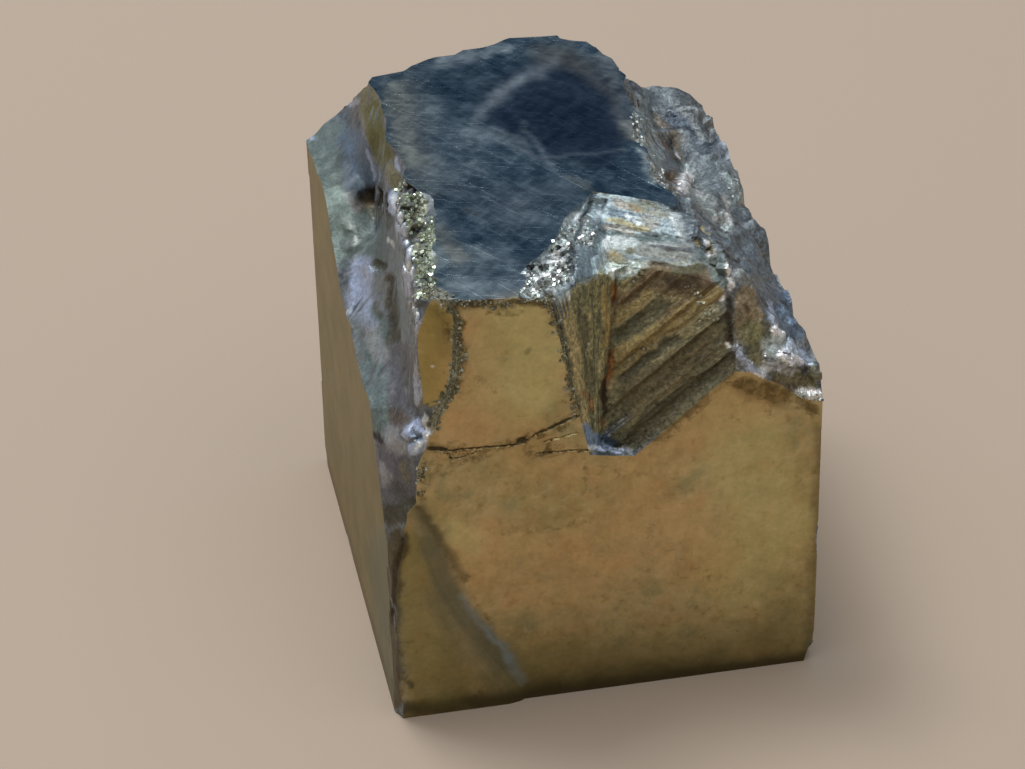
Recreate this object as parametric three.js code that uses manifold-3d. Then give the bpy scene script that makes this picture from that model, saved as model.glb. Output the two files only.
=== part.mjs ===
// Pyrite crystal: one near-cube grown as a single piece, with a broken upper left edge,
// a corner imprint in its front face and a fractured upper right corner.
// Millimetres, +Z up. The crystal is laid out from its lower front left corner
// (x to the right, y into the depth, z up) and centred over its base at the end.
import * as THREE from 'three';
import { mergeVertices } from 'three/addons/utils/BufferGeometryUtils.js';
import { ConvexGeometry } from 'three/addons/geometries/ConvexGeometry.js';
import Module from 'manifold-3d';

const wasm = await Module();
wasm.setup();

// Driving dimensions
const width = 30;
const depthAtBase = 32.2;
const depthAtTop = 34.0;
const topAtOrigin = 33.95;
const topFallRight = 0.06;
const topRiseBack = 0.017;
const proudSkin = 0.35;

const v3 = (x, y, z) => new THREE.Vector3(x, y, z);
const topAt = (x, y) => topAtOrigin - topFallRight * x + topRiseBack * y;
const up = v3(0, 0, 1);

// Repeatable value between 0 and 1 for a set of whole numbers
function chance(a, b, c, d) {
  const value = Math.sin(a * 127.1 + b * 311.7 + c * 74.7 + d * 19.3) * 43758.5453;
  return value - Math.floor(value);
}

// Height of a broken surface at a point: each cell of space is a flat shard with its own tilt
function shards(point, cell, seed) {
  let nearest = Infinity;
  let height = 0;
  const base = [point.x, point.y, point.z].map((value) => Math.floor(value / cell));
  for (let step = 0; step < 27; step += 1) {
    const i = base[0] + (step % 3) - 1;
    const j = base[1] + (Math.floor(step / 3) % 3) - 1;
    const k = base[2] + Math.floor(step / 9) - 1;
    const dx = point.x / cell - i - chance(i, j, k, seed);
    const dy = point.y / cell - j - chance(i, j, k, seed + 1);
    const dz = point.z / cell - k - chance(i, j, k, seed + 2);
    const gap = dx * dx + dy * dy + dz * dz;
    if (gap < nearest) {
      nearest = gap;
      height = chance(i, j, k, seed + 3) - 0.5 + dx * (chance(i, j, k, seed + 4) - 0.5)
        + dy * (chance(i, j, k, seed + 5) - 0.5) + dz * (chance(i, j, k, seed + 6) - 0.5);
    }
  }
  return height;
}

// Closed manifold from a three.js geometry, turned outwards when its faces look inwards
function solid(geometry) {
  geometry.deleteAttribute('normal');
  geometry.deleteAttribute('uv');
  const merged = mergeVertices(geometry, 1e-5);
  const spots = merged.attributes.position;
  const corners = merged.index ? Array.from(merged.index.array) : [...Array(spots.count).keys()];
  let volume = 0;
  const a = v3(0, 0, 0);
  const b = v3(0, 0, 0);
  const c = v3(0, 0, 0);
  for (let i = 0; i < corners.length; i += 3) {
    a.fromBufferAttribute(spots, corners[i]);
    b.fromBufferAttribute(spots, corners[i + 1]);
    c.fromBufferAttribute(spots, corners[i + 2]);
    volume += a.dot(b.cross(c));
  }
  if (volume < 0) {
    for (let i = 0; i < corners.length; i += 3) {
      [corners[i], corners[i + 1]] = [corners[i + 1], corners[i]];
    }
  }
  return new wasm.Manifold(new wasm.Mesh({
    numProp: 3,
    vertProperties: new Float32Array(spots.array),
    triVerts: new Uint32Array(corners),
  }));
}

const hull = (points) => solid(new ConvexGeometry(points.map((point) => v3(...point))));

// Block with one shaped side: its lower side follows the sheet, the rest is lifted off it
function mould(across, along, sheet, lift) {
  const block = new THREE.BoxGeometry(1, 1, 1, across, along, 1);
  const spots = block.attributes.position;
  for (let i = 0; i < spots.count; i += 1) {
    const spot = sheet(spots.getX(i) + 0.5, spots.getY(i) + 0.5);
    spot.addScaledVector(lift, spots.getZ(i) + 0.5);
    spots.setXYZ(i, spot.x, spot.y, spot.z);
  }
  return solid(block);
}

// Sheet through rows of points: straight along a row, smooth from one row to the next
function rowSheet(rows) {
  const count = rows[0].length;
  const lines = rows[0].map((_, k) => new THREE.CatmullRomCurve3(
    rows.map((row) => v3(...row[k])), false, 'centripetal'));
  return (u, v) => {
    const place = Math.min(u * (count - 1), count - 1.000001);
    const k = Math.floor(place);
    return lines[k].getPoint(v).lerp(lines[k + 1].getPoint(v), place - k);
  };
}

// Row with one more point past each end, so that its sheet leaves the crystal
function reaching(row, reach) {
  const points = row.map((point) => v3(...point));
  const ends = [[points[0], points[1]], [points.at(-1), points.at(-2)]].map(([end, inner]) => (
    end.clone().sub(inner).setLength(reach).add(end).toArray()));
  return [ends[0], ...row, ends[1]];
}

// Sheet broken into shards, moved along one direction
function broken(sheet, direction, coarse, fine, seed) {
  return (u, v) => {
    const spot = sheet(u, v);
    const move = coarse.height * shards(spot, coarse.cell, seed)
      + fine.height * shards(spot, fine.cell, seed + 10);
    return spot.addScaledVector(direction, move);
  };
}

// Flat sheet from a corner along two edges
function flatSheet(corner, edgeA, edgeB) {
  return (u, v) => v3(...corner).addScaledVector(v3(...edgeA), u).addScaledVector(v3(...edgeB), v);
}

// Stair of growth steps: level at a distance along it, given where each step starts
function stair(starts, rise, tilt) {
  return (distance) => {
    let level = 0;
    starts.forEach((start, step) => {
      const next = starts[step + 1] ?? start + 2;
      if (distance >= start && distance < next) {
        level = rise * (chance(step, 3, 5, 7) - 0.5) + tilt * (distance - (start + next) / 2);
      }
    });
    return level;
  };
}

// The near-cube: the top falls to the right and the back leans out a little
const frontY = 0;
const block = hull([
  [0, frontY, 0], [width, frontY, 0], [width, depthAtBase, 0], [0, depthAtBase, 0],
  [0, frontY, topAt(0, 0)], [width, frontY, topAt(width, 0)],
  [width, depthAtTop, topAt(width, depthAtTop)], [0, depthAtTop, topAt(0, depthAtTop)],
]);

// Proud growth skin on the lower left of the front face, ending in a soft curved slope
const skinRows = [
  [-2, 10.1], [0, 9.2], [0.9, 8.8], [2.6, 7.8], [4.3, 6.75], [6.2, 5.5], [8.6, 4.4],
  [10.4, 3.6], [13.1, 2.75], [15.3, 2.1], [17.2, 1.35], [18.4, 0.6],
].map(([z, x]) => {
  const soft = Math.min(1.2, x * 0.6);
  return [[-0.0, -proudSkin, z], [(x - soft) * 0.5, -proudSkin, z], [x - soft, -proudSkin, z],
    [x - soft * 0.35, -proudSkin * 0.55, z], [x, 0.02, z], [x + 0.15, 0.3, z]];
});
const skin = mould(10, 22, rowSheet(skinRows), v3(0, 1.2, 0));
const aboveFloor = hull([
  [-5, -5, 0], [50, -5, 0], [50, 50, 0], [-5, 50, 0],
  [-5, -5, 60], [50, -5, 60], [50, 50, 60], [-5, 50, 60],
]);
let crystal = block.add(skin.intersect(aboveFloor));

// Broken upper left edge: sections across it from back to front, as x and z from the
// border on the left face, over the ledge and the riser, to the border on the top
const bandRows = [
  [36.0, [0, 27.0], [1.4, 28.2], [2.8, 29.4], [3.6, 31.0], [4.3, 32.6], [4.9, 34.4]],
  [33.4, [0, 27.1], [1.4, 28.3], [2.8, 29.4], [3.5, 31.0], [4.1, 32.6], [4.6, 34.3]],
  [29.0, [0, 27.6], [1.5, 28.5], [2.8, 29.3], [3.3, 31.2], [3.8, 32.8], [4.4, 34.2]],
  [26.0, [0, 27.9], [1.6, 28.5], [2.9, 28.9], [3.3, 31.0], [3.8, 32.7], [4.3, 34.1]],
  [23.8, [0, 27.5], [1.5, 27.6], [3.1, 26.6], [3.7, 30.2], [3.9, 32.6], [4.1, 34.1]],
  [21.4, [0, 25.6], [1.4, 26.4], [3.2, 26.4], [3.6, 30.4], [3.9, 32.4], [4.0, 34.1]],
  [19.4, [0, 24.4], [1.2, 25.6], [2.9, 26.9], [3.3, 30.8], [3.7, 32.4], [4.2, 34.0]],
  [17.0, [0, 23.3], [1.1, 24.8], [2.4, 26.8], [3.3, 31.4], [4.0, 32.8], [4.4, 34.0]],
  [14.4, [0, 22.8], [1.0, 24.4], [2.2, 26.2], [3.3, 31.6], [4.2, 33.0], [5.0, 33.9]],
  [12.6, [0, 22.5], [1.0, 23.9], [2.2, 25.8], [3.3, 31.8], [4.5, 33.2], [5.7, 33.8]],
  [9.6, [0, 22.2], [1.0, 23.5], [2.3, 25.4], [3.1, 31.8], [4.2, 33.1], [5.2, 33.8]],
  [6.6, [0, 21.8], [1.0, 23.0], [2.4, 24.8], [3.0, 31.6], [3.9, 33.0], [4.7, 33.8]],
  [4.2, [0, 20.6], [1.1, 22.5], [2.5, 23.9], [2.9, 31.0], [3.6, 32.8], [4.4, 33.8]],
  [2.0, [0, 20.0], [1.1, 22.2], [2.8, 23.3], [2.8, 30.0], [3.2, 32.4], [4.2, 33.7]],
  [0.0, [0, 19.6], [1.0, 22.0], [3.0, 23.2], [2.8, 29.0], [2.5, 32.2], [3.6, 33.9]],
  [-2.0, [0, 19.4], [1.0, 21.9], [3.1, 23.1], [2.8, 29.0], [2.4, 32.2], [3.2, 34.1]],
].map(([y, ...section]) => reaching(section.map(([x, z]) => [x, y, z]), 4));
const bandSheet = broken(rowSheet(bandRows), v3(-0.8, 0, 0.6),
  { cell: 2.1, height: 0.55 }, { cell: 0.9, height: 0.25 }, 3);
crystal = crystal.subtract(mould(14, 45, bandSheet, v3(-14, 0, 12)));

// Rough bevel down the front left edge: how far it reaches on the front and on the left face
const edgeRows = [
  [25.0, 3.2, 8.0], [23.0, 2.95, 6.9], [21.4, 2.4, 5.9], [19.6, 2.05, 4.6], [18.0, 1.85, 3.4],
  [16.0, 1.1, 2.1], [13.6, 0.6, 1.5], [11.0, 0.42, 1.2], [8.0, 0.34, 0.95], [4.0, 0.3, 0.7],
  [0.0, 0.42, 0.7], [-1.5, 0.5, 0.8],
].map(([z, onFront, onLeft]) => {
  const skinY = z < 17 ? -proudSkin : 0;
  return reaching([[onFront, skinY, z], [onFront * 0.42, onLeft * 0.36 + skinY * 0.5, z],
    [0, onLeft, z]], 2.5);
});
const edgeSheet = broken(rowSheet(edgeRows), v3(-0.8, -0.6, 0),
  { cell: 2.2, height: 0.3 }, { cell: 0.9, height: 0.16 }, 31);
crystal = crystal.subtract(mould(8, 33, edgeSheet, v3(-9, -7, 0)));

// Golden side facet of the front face, sunk a little and turned to the left
const facetRows = [
  [36.0, 1.6, 5.0], [33.7, 2.0, 5.05], [31.2, 2.2, 5.15], [29.2, 2.2, 5.0], [27.7, 2.3, 4.85],
  [26.0, 2.4, 4.2], [24.6, 2.7, 3.65], [23.4, 2.9, 3.2],
].map(([z, left, right], row) => {
  const jog = 0.16 * (chance(row, 2, 9, 4) - 0.5);
  return [[left - 1.5, 0.98, z], [left, 0.8, z], [right - 0.2 + jog, 0.34, z], [right + jog, 0.2, z]];
});
crystal = crystal.subtract(mould(6, 28, rowSheet(facetRows), v3(0, -3, 0)));

// Corner imprint in the front face. Its right wall carries slanting growth steps
const imprintFoot = [15.0, 1.3, 20.5];
const imprintTop = [16.7, 5.5, 31.0];
const slant = v3(0.768, 0, 0.64);
const wallOut = v3(-0.341, -0.829, 0.442).normalize();
const wallUp = wallOut.clone().cross(slant).normalize();
if (wallUp.z < 0) {
  wallUp.negate();
}
const wallSteps = stair([-6, -2.2, -1.2, -0.4, 0.5, 1.1, 2.3, 3.0, 4.2, 4.9, 6.1, 6.8, 8.0, 9.4,
  10.3, 11.8, 13], 0.3, 0.17);
const wallSheet = (u, v) => {
  const rise = -6 + 19 * v;
  const spot = v3(...imprintFoot).addScaledVector(slant, -9 + 28 * u).addScaledVector(wallUp, rise);
  const lip = rise < -0.3 ? 0.13 * (rise + 0.3) : 0;
  return spot.addScaledVector(wallOut, -wallSteps(rise) + lip);
};
const frontOfWall = mould(2, 76, wallSheet, v3(-5, -16, 6));

// Its left wall opens towards the top and carries steps that run up the wall
const leftSteps = stair([-0.6, -0.1, 0.09, 0.2, 0.33, 0.42, 0.57, 0.66, 0.8, 0.92, 1.2], 0.26, 1.1);
const leftSheet = (u, v) => {
  const height = -0.25 + 1.65 * v;
  const share = -0.6 + 2.1 * u;
  const front = v3(13.75, 0, 20.6).lerp(v3(11.2, 0, 32.7), height);
  const inner = v3(...imprintFoot).lerp(v3(...imprintTop), height);
  const grow = 0.35 + 0.65 * Math.max(0, height);
  return front.lerp(inner, share).addScaledVector(v3(0.66, -0.75, 0), leftSteps(share) * grow);
};
const rightOfWall = mould(42, 9, leftSheet, v3(15, -13, 0));
const sillSheet = broken(flatSheet([8, -4, 21.6], [22, 0, -4.5], [0, 16, -0.6]), up,
  { cell: 2.4, height: 0.12 }, { cell: 0.9, height: 0.08 }, 47);
const aboveSill = mould(18, 12, sillSheet, v3(0, 0, 30));
crystal = crystal.subtract(frontOfWall.intersect(rightOfWall).intersect(aboveSill));

// Silvery shelf above the imprint: it tilts forward and steps down in bands
const crestLeft = [16.97, 12.42, 33.12];
const crestRight = [21.62, 10.17, 32.83];
const crest = v3(...crestRight).sub(v3(...crestLeft)).normalize();
const shelfOut = v3(-0.078, -0.292, 0.953).normalize();
const shelfDown = crest.clone().cross(shelfOut).normalize();
if (shelfDown.y > 0) {
  shelfDown.negate();
}
const shelfSteps = stair([-3, 0.1, 0.75, 1.3, 2.2, 2.7, 3.7, 4.3, 5.3, 6.2, 7.4, 8.6, 10, 12, 14],
  0.2, 0.08);
const shelfSheet = (u, v) => {
  const fall = -2.5 + 16 * v;
  const spot = v3(...crestLeft).addScaledVector(crest, -11 + 26 * u).addScaledVector(shelfDown, fall);
  return spot.addScaledVector(shelfOut, shelfSteps(fall) - 0.02);
};
const aboveShelf = mould(8, 60, broken(shelfSheet, up, { cell: 2.2, height: 0.16 },
  { cell: 0.9, height: 0.1 }, 59), v3(0, 0, 12));
const slopeOut = v3(0.595, -0.258, 0.76).normalize();
const slopeDown = v3(-0.08, -0.95, -0.26).addScaledVector(slopeOut,
  -v3(-0.08, -0.95, -0.26).dot(slopeOut)).normalize();
const slopeSide = slopeOut.clone().cross(slopeDown).normalize();
if (slopeSide.x < 0) {
  slopeSide.negate();
}
const slopeSheet = (u, v) => v3(...crestLeft).addScaledVector(slopeDown, -3 + 20 * v)
  .addScaledVector(slopeSide, -5 + 14 * u);
const aboveSlope = mould(16, 22, broken(slopeSheet, slopeOut, { cell: 2.0, height: 0.3 },
  { cell: 0.8, height: 0.14 }, 71), v3(4, -2, 12));
crystal = crystal.subtract(aboveShelf.intersect(aboveSlope));

// Chipped strip along the left of that slope, just under the level of the top
const stripRows = [
  [-1.5, 8.3, 12.9], [0.6, 9.2, 12.6], [2.0, 9.9, 12.7], [3.6, 10.6, 13.0], [5.0, 11.9, 13.6],
  [7.0, 12.9, 14.6], [9.1, 14.1, 15.6], [10.6, 15.4, 16.3], [11.7, 16.3, 16.9],
].map(([y, left, right], row) => {
  const jog = 0.5 * (chance(row, 6, 1, 8) - 0.5);
  return [[left + jog, y, topAt(left, y) + 0.05], [left + 0.25 + jog, y, topAt(left, y) - 0.32],
    [(left + right) / 2, y, topAt(left, y) - 0.42], [right + 0.7, y, topAt(left, y) - 0.85]];
});
crystal = crystal.subtract(mould(8, 24, broken(rowSheet(stripRows), up, { cell: 1.1, height: 0.3 },
  { cell: 0.6, height: 0.22 }, 83), v3(0, 0, 4)));

// Fractured upper right corner: sections from back to front, as x and z from the border on
// the top, over the hollow and the rim, to the border on the right face
const cornerRows = [
  [37.0, [18.2, 33.6], [21.2, 31.2], [24.0, 29.4], [27.0, 29.2], [30, 27.0]],
  [33.4, [18.6, 33.4], [21.6, 31.0], [24.2, 29.1], [27.2, 29.0], [30, 27.0]],
  [30.4, [21.2, 33.2], [23.0, 30.4], [25.4, 28.0], [28.2, 28.7], [30, 26.9]],
  [27.6, [22.2, 33.1], [23.5, 30.2], [26.0, 26.9], [28.6, 28.2], [30, 27.0]],
  [24.0, [21.9, 33.0], [23.6, 30.0], [26.2, 26.6], [28.6, 27.8], [30, 26.6]],
  [20.0, [21.5, 33.0], [23.4, 30.4], [26.0, 27.8], [28.4, 27.2], [30, 25.6]],
  [16.0, [21.1, 33.0], [23.2, 30.8], [26.0, 28.8], [28.2, 27.2], [30, 25.3]],
  [12.4, [21.3, 32.9], [23.5, 31.2], [26.2, 28.7], [28.3, 26.9], [30, 24.7]],
  [8.6, [22.7, 32.7], [24.6, 30.9], [26.6, 28.2], [28.4, 26.5], [30, 24.6]],
  [5.5, [24.0, 32.6], [25.3, 31.1], [26.8, 28.6], [28.5, 26.4], [30, 24.6]],
  [2.6, [24.5, 32.5], [25.6, 30.8], [26.9, 28.4], [28.5, 26.3], [30, 24.4]],
  [-2.0, [24.6, 32.5], [25.7, 30.6], [26.9, 28.2], [28.5, 26.2], [30, 24.0]],
].map(([y, ...section]) => reaching(section.map(([x, z]) => [x, y, z]), 5));
const cornerSheet = broken(rowSheet(cornerRows), v3(0.55, 0, 0.83),
  { cell: 2.4, height: 1.0 }, { cell: 1.1, height: 0.5 }, 97);
crystal = crystal.subtract(mould(18, 44, cornerSheet, v3(10, 0, 14)));

// Smooth facet leaning back above the right end of the front face, rough to its right
const pillarRows = [
  [23.4, 25.5], [24.9, 25.25], [25.6, 24.7], [27.0, 23.9], [28.4, 22.7], [30.0, 22.25],
  [31.5, 22.0],
].map(([x, z]) => [-1.2, 0, 1.2, 2.4, 3.6, 6.4].map((y) => {
  const wave = x > 26.4 ? 0.5 * shards(v3(x * 1.3, y, z), 1.2, 113) : 0;
  return [x + y * 0.1, y, z + y * 1.72 + wave];
}));
crystal = crystal.subtract(mould(10, 12, rowSheet(pillarRows), v3(4, -14, 8)));

// Chip along the back of the top, from the ledge to the middle of the back edge
const backSheet = broken(flatSheet([-3.6, 25.8, 34.6], [20.8, 8.87, -0.9], [-3.5, 8.2, -8.9]),
  v3(-0.28, 0.65, 0.7), { cell: 2.6, height: 0.5 }, { cell: 1.1, height: 0.25 }, 127);
crystal = crystal.subtract(mould(20, 12, backSheet, v3(0, 6, 9)));

// Growth terraces on the right and back faces: thin layers that end in straight steps
const terraces = [
  [[width - 0.28, 19.5, 9.5], [2, 0, 0], [0, 20, 0], [0, 0, 22], [0, 1.6, 0]],
  [[width - 0.5, 26.4, 15.5], [2, 0, 0], [0, 12, 0], [0, 0, 20], [0, 0.9, 0]],
  [[width - 0.22, -3, -2], [2, 0, 0], [0, 15.5, 0], [0, 0, 6.1], [0, 0.5, 0]],
];
terraces.forEach(([corner, a, b, c, skew]) => {
  const cut = mould(1, 1, (u, v) => v3(...corner).addScaledVector(v3(...b), u)
    .addScaledVector(v3(...c), v).addScaledVector(v3(...skew), v), v3(...a));
  crystal = crystal.subtract(cut);
});
const backLean = (depthAtTop - depthAtBase) / topAt(15, depthAtTop);
const backTerraces = [
  [-2, 13.2, -2, 9.0, 0.35], [-2, 8.4, 7.0, 17.5, 0.6], [19.0, 14, 12.5, 26, 0.4],
  [24.4, 8, 18.6, 26, 0.75], [9.6, 6.4, 20.4, 6.2, 0.3],
];
backTerraces.forEach(([x, wide, z, tall, deep]) => {
  const face = (height) => depthAtBase + backLean * height - deep;
  crystal = crystal.subtract(mould(1, 1, (u, v) => v3(x + wide * u, face(z + tall * v), z + tall * v),
    v3(0, 3, 0)));
});

// Small corner breaks: each takes off what lies past a plane near an edge or a corner
const chips = [
  [[30, 0.2, 1.0], [1.4, -0.9, -1.1], 0.55], [[30, 31.6, 12], [1, 1, 0], 0.3],
  [[0, 31.9, 0.6], [-1, 1, -0.8], 0.5], [[29.7, 32.0, 0.4], [0.9, 1, -1], 0.8],
  [[17, 32.2, 0], [0.1, 1, -0.8], 0.25], [[30, 16, 0], [1, 0.1, -0.9], 0.22],
  [[0, 20, 0], [-1, 0.1, -0.8], 0.18], [[30, 0, 9], [1, -1, 0.1], 0.12],
];
chips.forEach(([place, way, deep], order) => {
  const out = v3(...way).normalize();
  const side = v3(0.31, 0.52, 0.79).cross(out).normalize();
  const over = out.clone().cross(side).normalize();
  const reach = [3, 9, 3.5, 4, 5, 5, 4, 7][order];
  const sheet = (u, v) => v3(...place).addScaledVector(out, -deep + 1.6 * ((u - 0.5) ** 2 + (v - 0.5) ** 2))
    .addScaledVector(side, reach * (u - 0.5)).addScaledVector(over, reach * (v - 0.5));
  const cut = mould(6, 6, broken(sheet, out, { cell: 1.5, height: 0.25 },
    { cell: 0.7, height: 0.12 }, 140 + order * 11), out.clone().multiplyScalar(4));
  crystal = crystal.subtract(cut);
});

// Crust of small grown crystals between the riser and the top, and on the broken borders
const crusts = [
  { from: [4.4, 14.2, 33.3], to: [3.6, 1.0, 33.1], count: 26, spread: [0.75, 0.5, 0.5], size: 0.62 },
  { from: [10.0, 1.2, 33.2], to: [13.6, 6.4, 32.9], count: 12, spread: [0.9, 0.6, 0.2], size: 0.5 },
  { from: [24.2, 3.4, 31.4], to: [22.4, 9.2, 32.2], count: 9, spread: [0.5, 0.5, 0.4], size: 0.6 },
  { from: [26.2, 1.0, 25.6], to: [29.4, 0.9, 23.3], count: 8, spread: [0.5, 0.3, 0.5], size: 0.55 },
];
crusts.forEach(({ from, to, count, spread, size }, belt) => {
  for (let i = 0; i < count; i += 1) {
    const roll = (k) => chance(i, belt, k, 11) - 0.5;
    const place = v3(...from).lerp(v3(...to), (i + 0.5) / count)
      .add(v3(roll(1) * 2 * spread[0], roll(2) * 2 * spread[1], roll(3) * 2 * spread[2]));
    const grain = new THREE.BoxGeometry(1, 1, 1);
    grain.scale(size * (1.3 + roll(4)), size * (1.3 + roll(5)), size * (1.3 + roll(6)));
    grain.applyMatrix4(new THREE.Matrix4().makeRotationFromEuler(
      new THREE.Euler(roll(7) * 2.4, roll(8) * 2.4, roll(9) * 2.4)));
    grain.translate(place.x, place.y, place.z);
    crystal = crystal.add(solid(grain));
  }
});
crystal = crystal.intersect(hull([
  [0, -proudSkin, 0], [width, -proudSkin, 0], [width, 36, 0], [0, 36, 0],
  [0, -proudSkin, topAt(0, 0) + 0.2], [width, -proudSkin, topAt(width, 0) + 0.2],
  [width, 36, topAt(width, 36) + 0.2], [0, 36, topAt(0, 36) + 0.2],
]));

// Largest connected piece, as a three.js mesh centred over its base
const pieces = crystal.decompose().sort((a, b) => b.volume() - a.volume());
const grown = pieces[0].getMesh();
const geometry = new THREE.BufferGeometry();
geometry.setAttribute('position', new THREE.BufferAttribute(new Float32Array(grown.vertProperties), 3));
geometry.setIndex(Array.from(grown.triVerts));
geometry.computeBoundingBox();
const middle = geometry.boundingBox.getCenter(v3(0, 0, 0));
geometry.translate(-middle.x, -middle.y, -geometry.boundingBox.min.z);

const pyrite = new THREE.MeshStandardMaterial({ color: 0x8f7c52, roughness: 0.32, metalness: 0.9 });
const mesh = new THREE.Mesh(geometry, pyrite);
mesh.name = 'pyrite_crystal';
const group = new THREE.Group();
group.name = 'pyrite_specimen';
group.add(mesh);
export default group;
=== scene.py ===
import math

import bmesh
import bpy
import numpy as np
from mathutils import Matrix, Vector, noise
from mathutils.bvhtree import BVHTree


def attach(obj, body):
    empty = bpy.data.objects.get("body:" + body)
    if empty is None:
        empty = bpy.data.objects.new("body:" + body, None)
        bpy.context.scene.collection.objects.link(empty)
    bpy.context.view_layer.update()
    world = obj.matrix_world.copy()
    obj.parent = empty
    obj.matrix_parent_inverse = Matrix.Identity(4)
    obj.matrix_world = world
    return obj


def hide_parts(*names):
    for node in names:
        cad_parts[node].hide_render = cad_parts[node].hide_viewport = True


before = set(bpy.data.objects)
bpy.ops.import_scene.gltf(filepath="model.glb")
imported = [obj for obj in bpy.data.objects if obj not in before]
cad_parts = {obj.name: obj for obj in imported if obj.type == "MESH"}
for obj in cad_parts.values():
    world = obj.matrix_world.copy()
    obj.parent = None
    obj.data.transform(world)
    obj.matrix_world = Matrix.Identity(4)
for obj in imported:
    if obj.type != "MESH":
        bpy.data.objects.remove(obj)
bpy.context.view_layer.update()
mm = 0.001
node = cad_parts["pyrite_crystal"]


class Wire:  # a node's output that can be added, multiplied and so on, each time with a Math node
    def __init__(self, graph, socket):
        self.graph = graph
        self.socket = socket

    def __add__(self, other):
        return self.graph.maths("ADD", self, other)

    def __sub__(self, other):
        return self.graph.maths("SUBTRACT", self, other)

    def __rsub__(self, other):
        return self.graph.maths("SUBTRACT", other, self)

    def __mul__(self, other):
        return self.graph.maths("MULTIPLY", self, other)

    def __truediv__(self, other):
        return self.graph.maths("DIVIDE", self, other)

    def __rtruediv__(self, other):
        return self.graph.maths("DIVIDE", other, self)

    __radd__ = __add__
    __rmul__ = __mul__


class Graph:  # adds nodes to a tree
    def __init__(self, tree):
        self.tree = tree
        tree.nodes.clear()

    def add(self, kind, settings=None, inputs=None, out=0):
        made = self.tree.nodes.new(kind)
        for name, value in (settings or {}).items():
            if name == "stops":
                self.setStops(made.color_ramp, value)
            else:
                setattr(made, name, value)
        for name, value in (inputs or {}).items():
            self.feed(made.inputs[name], value)
        return Wire(self, made.outputs[out]) if made.outputs else made

    def feed(self, socket, value):
        if isinstance(value, Wire):
            self.tree.links.new(value.socket, socket)
        elif socket.type == "RGBA":
            socket.default_value = (*value[:3], 1)
        else:
            socket.default_value = value

    def setStops(self, ramp, stops):
        while len(ramp.elements) < len(stops):
            ramp.elements.new(1)
        for element, (place, colour) in zip(ramp.elements, stops):
            element.position = place
            element.color = (*colour, 1)

    def maths(self, operation, a, b=0.0):
        return self.add("ShaderNodeMath", {"operation": operation}, {0: a, 1: b})

    def vectors(self, operation, a, b=(0, 0, 0), out=0):
        key = "Scale" if operation == "SCALE" else 1
        return self.add("ShaderNodeVectorMath", {"operation": operation}, {0: a, key: b}, out)

    def dot(self, a, b):
        return self.vectors("DOT_PRODUCT", a, b, "Value")

    def split(self, kind, value):  # all outputs of a node that takes a value apart
        return [Wire(self, part) for part in self.add(kind, {}, {0: value}).socket.node.outputs]

    def step(self, value, low, high, atLow=0.0, atHigh=1.0):  # a soft step between two values
        return self.add("ShaderNodeMapRange", {"interpolation_type": "SMOOTHSTEP"},
                        {0: value, 1: low, 2: high, 3: atLow, 4: atHigh})

    def mix(self, share, a, b):
        return self.add("ShaderNodeMix", {"data_type": "RGBA"}, {0: share, 6: a, 7: b}, 2)

    def mixValue(self, share, a, b):
        return self.add("ShaderNodeMix", {"data_type": "FLOAT"}, {0: share, 2: a, 3: b})

    def painted(self, name):  # a value kept on the mesh under that name
        return self.add("ShaderNodeAttribute", {"attribute_name": name}, {}, "Fac")

    def cloud(self, place, scale, detail=3, rough=0.55):
        return self.add("ShaderNodeTexNoise", {}, {"Vector": place, "Scale": scale, "Detail": detail,
                                                   "Roughness": rough})


def screen(colour):  # a colour as a screen shows it, 0 to 255, made linear
    parts = np.array(colour) / 255
    return np.where(parts < 0.04045, parts / 12.92, ((parts + 0.055) / 1.055) ** 2.4)


def placed(name, data):  # a new object in the scene
    made = bpy.data.objects.new(name, data)
    bpy.context.scene.collection.objects.link(made)
    return made


pictureSize = (1025, 769)
cameraView = {
    "aim": (-3.154, 0.102, 15.0),  # mm
    "turn": 10.57,  # degrees to the right of straight at the front face
    "down": 34.04,
    "roll": -1.07,
    "distance": 272.0,
    "focal": 3800.0,  # in pixels of the picture
    "sensor": 36.0,  # mm
}


def viewAxes(view):  # right, up and ahead of the camera
    turn, down, roll = (math.radians(view[key]) for key in ("turn", "down", "roll"))
    ahead = Vector((math.sin(turn) * math.cos(down), math.cos(turn) * math.cos(down), -math.sin(down)))
    level = Vector((math.cos(turn), -math.sin(turn), 0))
    over = level.cross(ahead)
    cos, sin = math.cos(roll), math.sin(roll)
    return cos * level + sin * over, cos * over - sin * level, ahead


right, over, ahead = viewAxes(cameraView)
eye = Vector(cameraView["aim"]) - cameraView["distance"] * ahead


def makeCamera(view):
    camera = placed("camera", bpy.data.cameras.new("camera"))
    camera.matrix_world = Matrix.Translation(eye * mm) @ Matrix((right, over, -ahead)).transposed().to_4x4()
    camera.data.sensor_width = view["sensor"]
    camera.data.lens = view["focal"] / pictureSize[0] * view["sensor"]
    camera.data.clip_start = 0.01
    camera.data.clip_end = 20
    bpy.context.scene.camera = camera


def shownAt(places):  # where places in mm show in the picture, in its pixels
    away = places - np.array(eye)
    scale = cameraView["focal"] / (away @ np.array(ahead))
    across = pictureSize[0] / 2 + scale * (away @ np.array(right))
    return np.stack([across, pictureSize[1] / 2 - scale * (away @ np.array(over))], axis=1)


makeCamera(cameraView)
pixel = cameraView["distance"] / cameraView["focal"]  # mm on the crystal
print("camera set")

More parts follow.
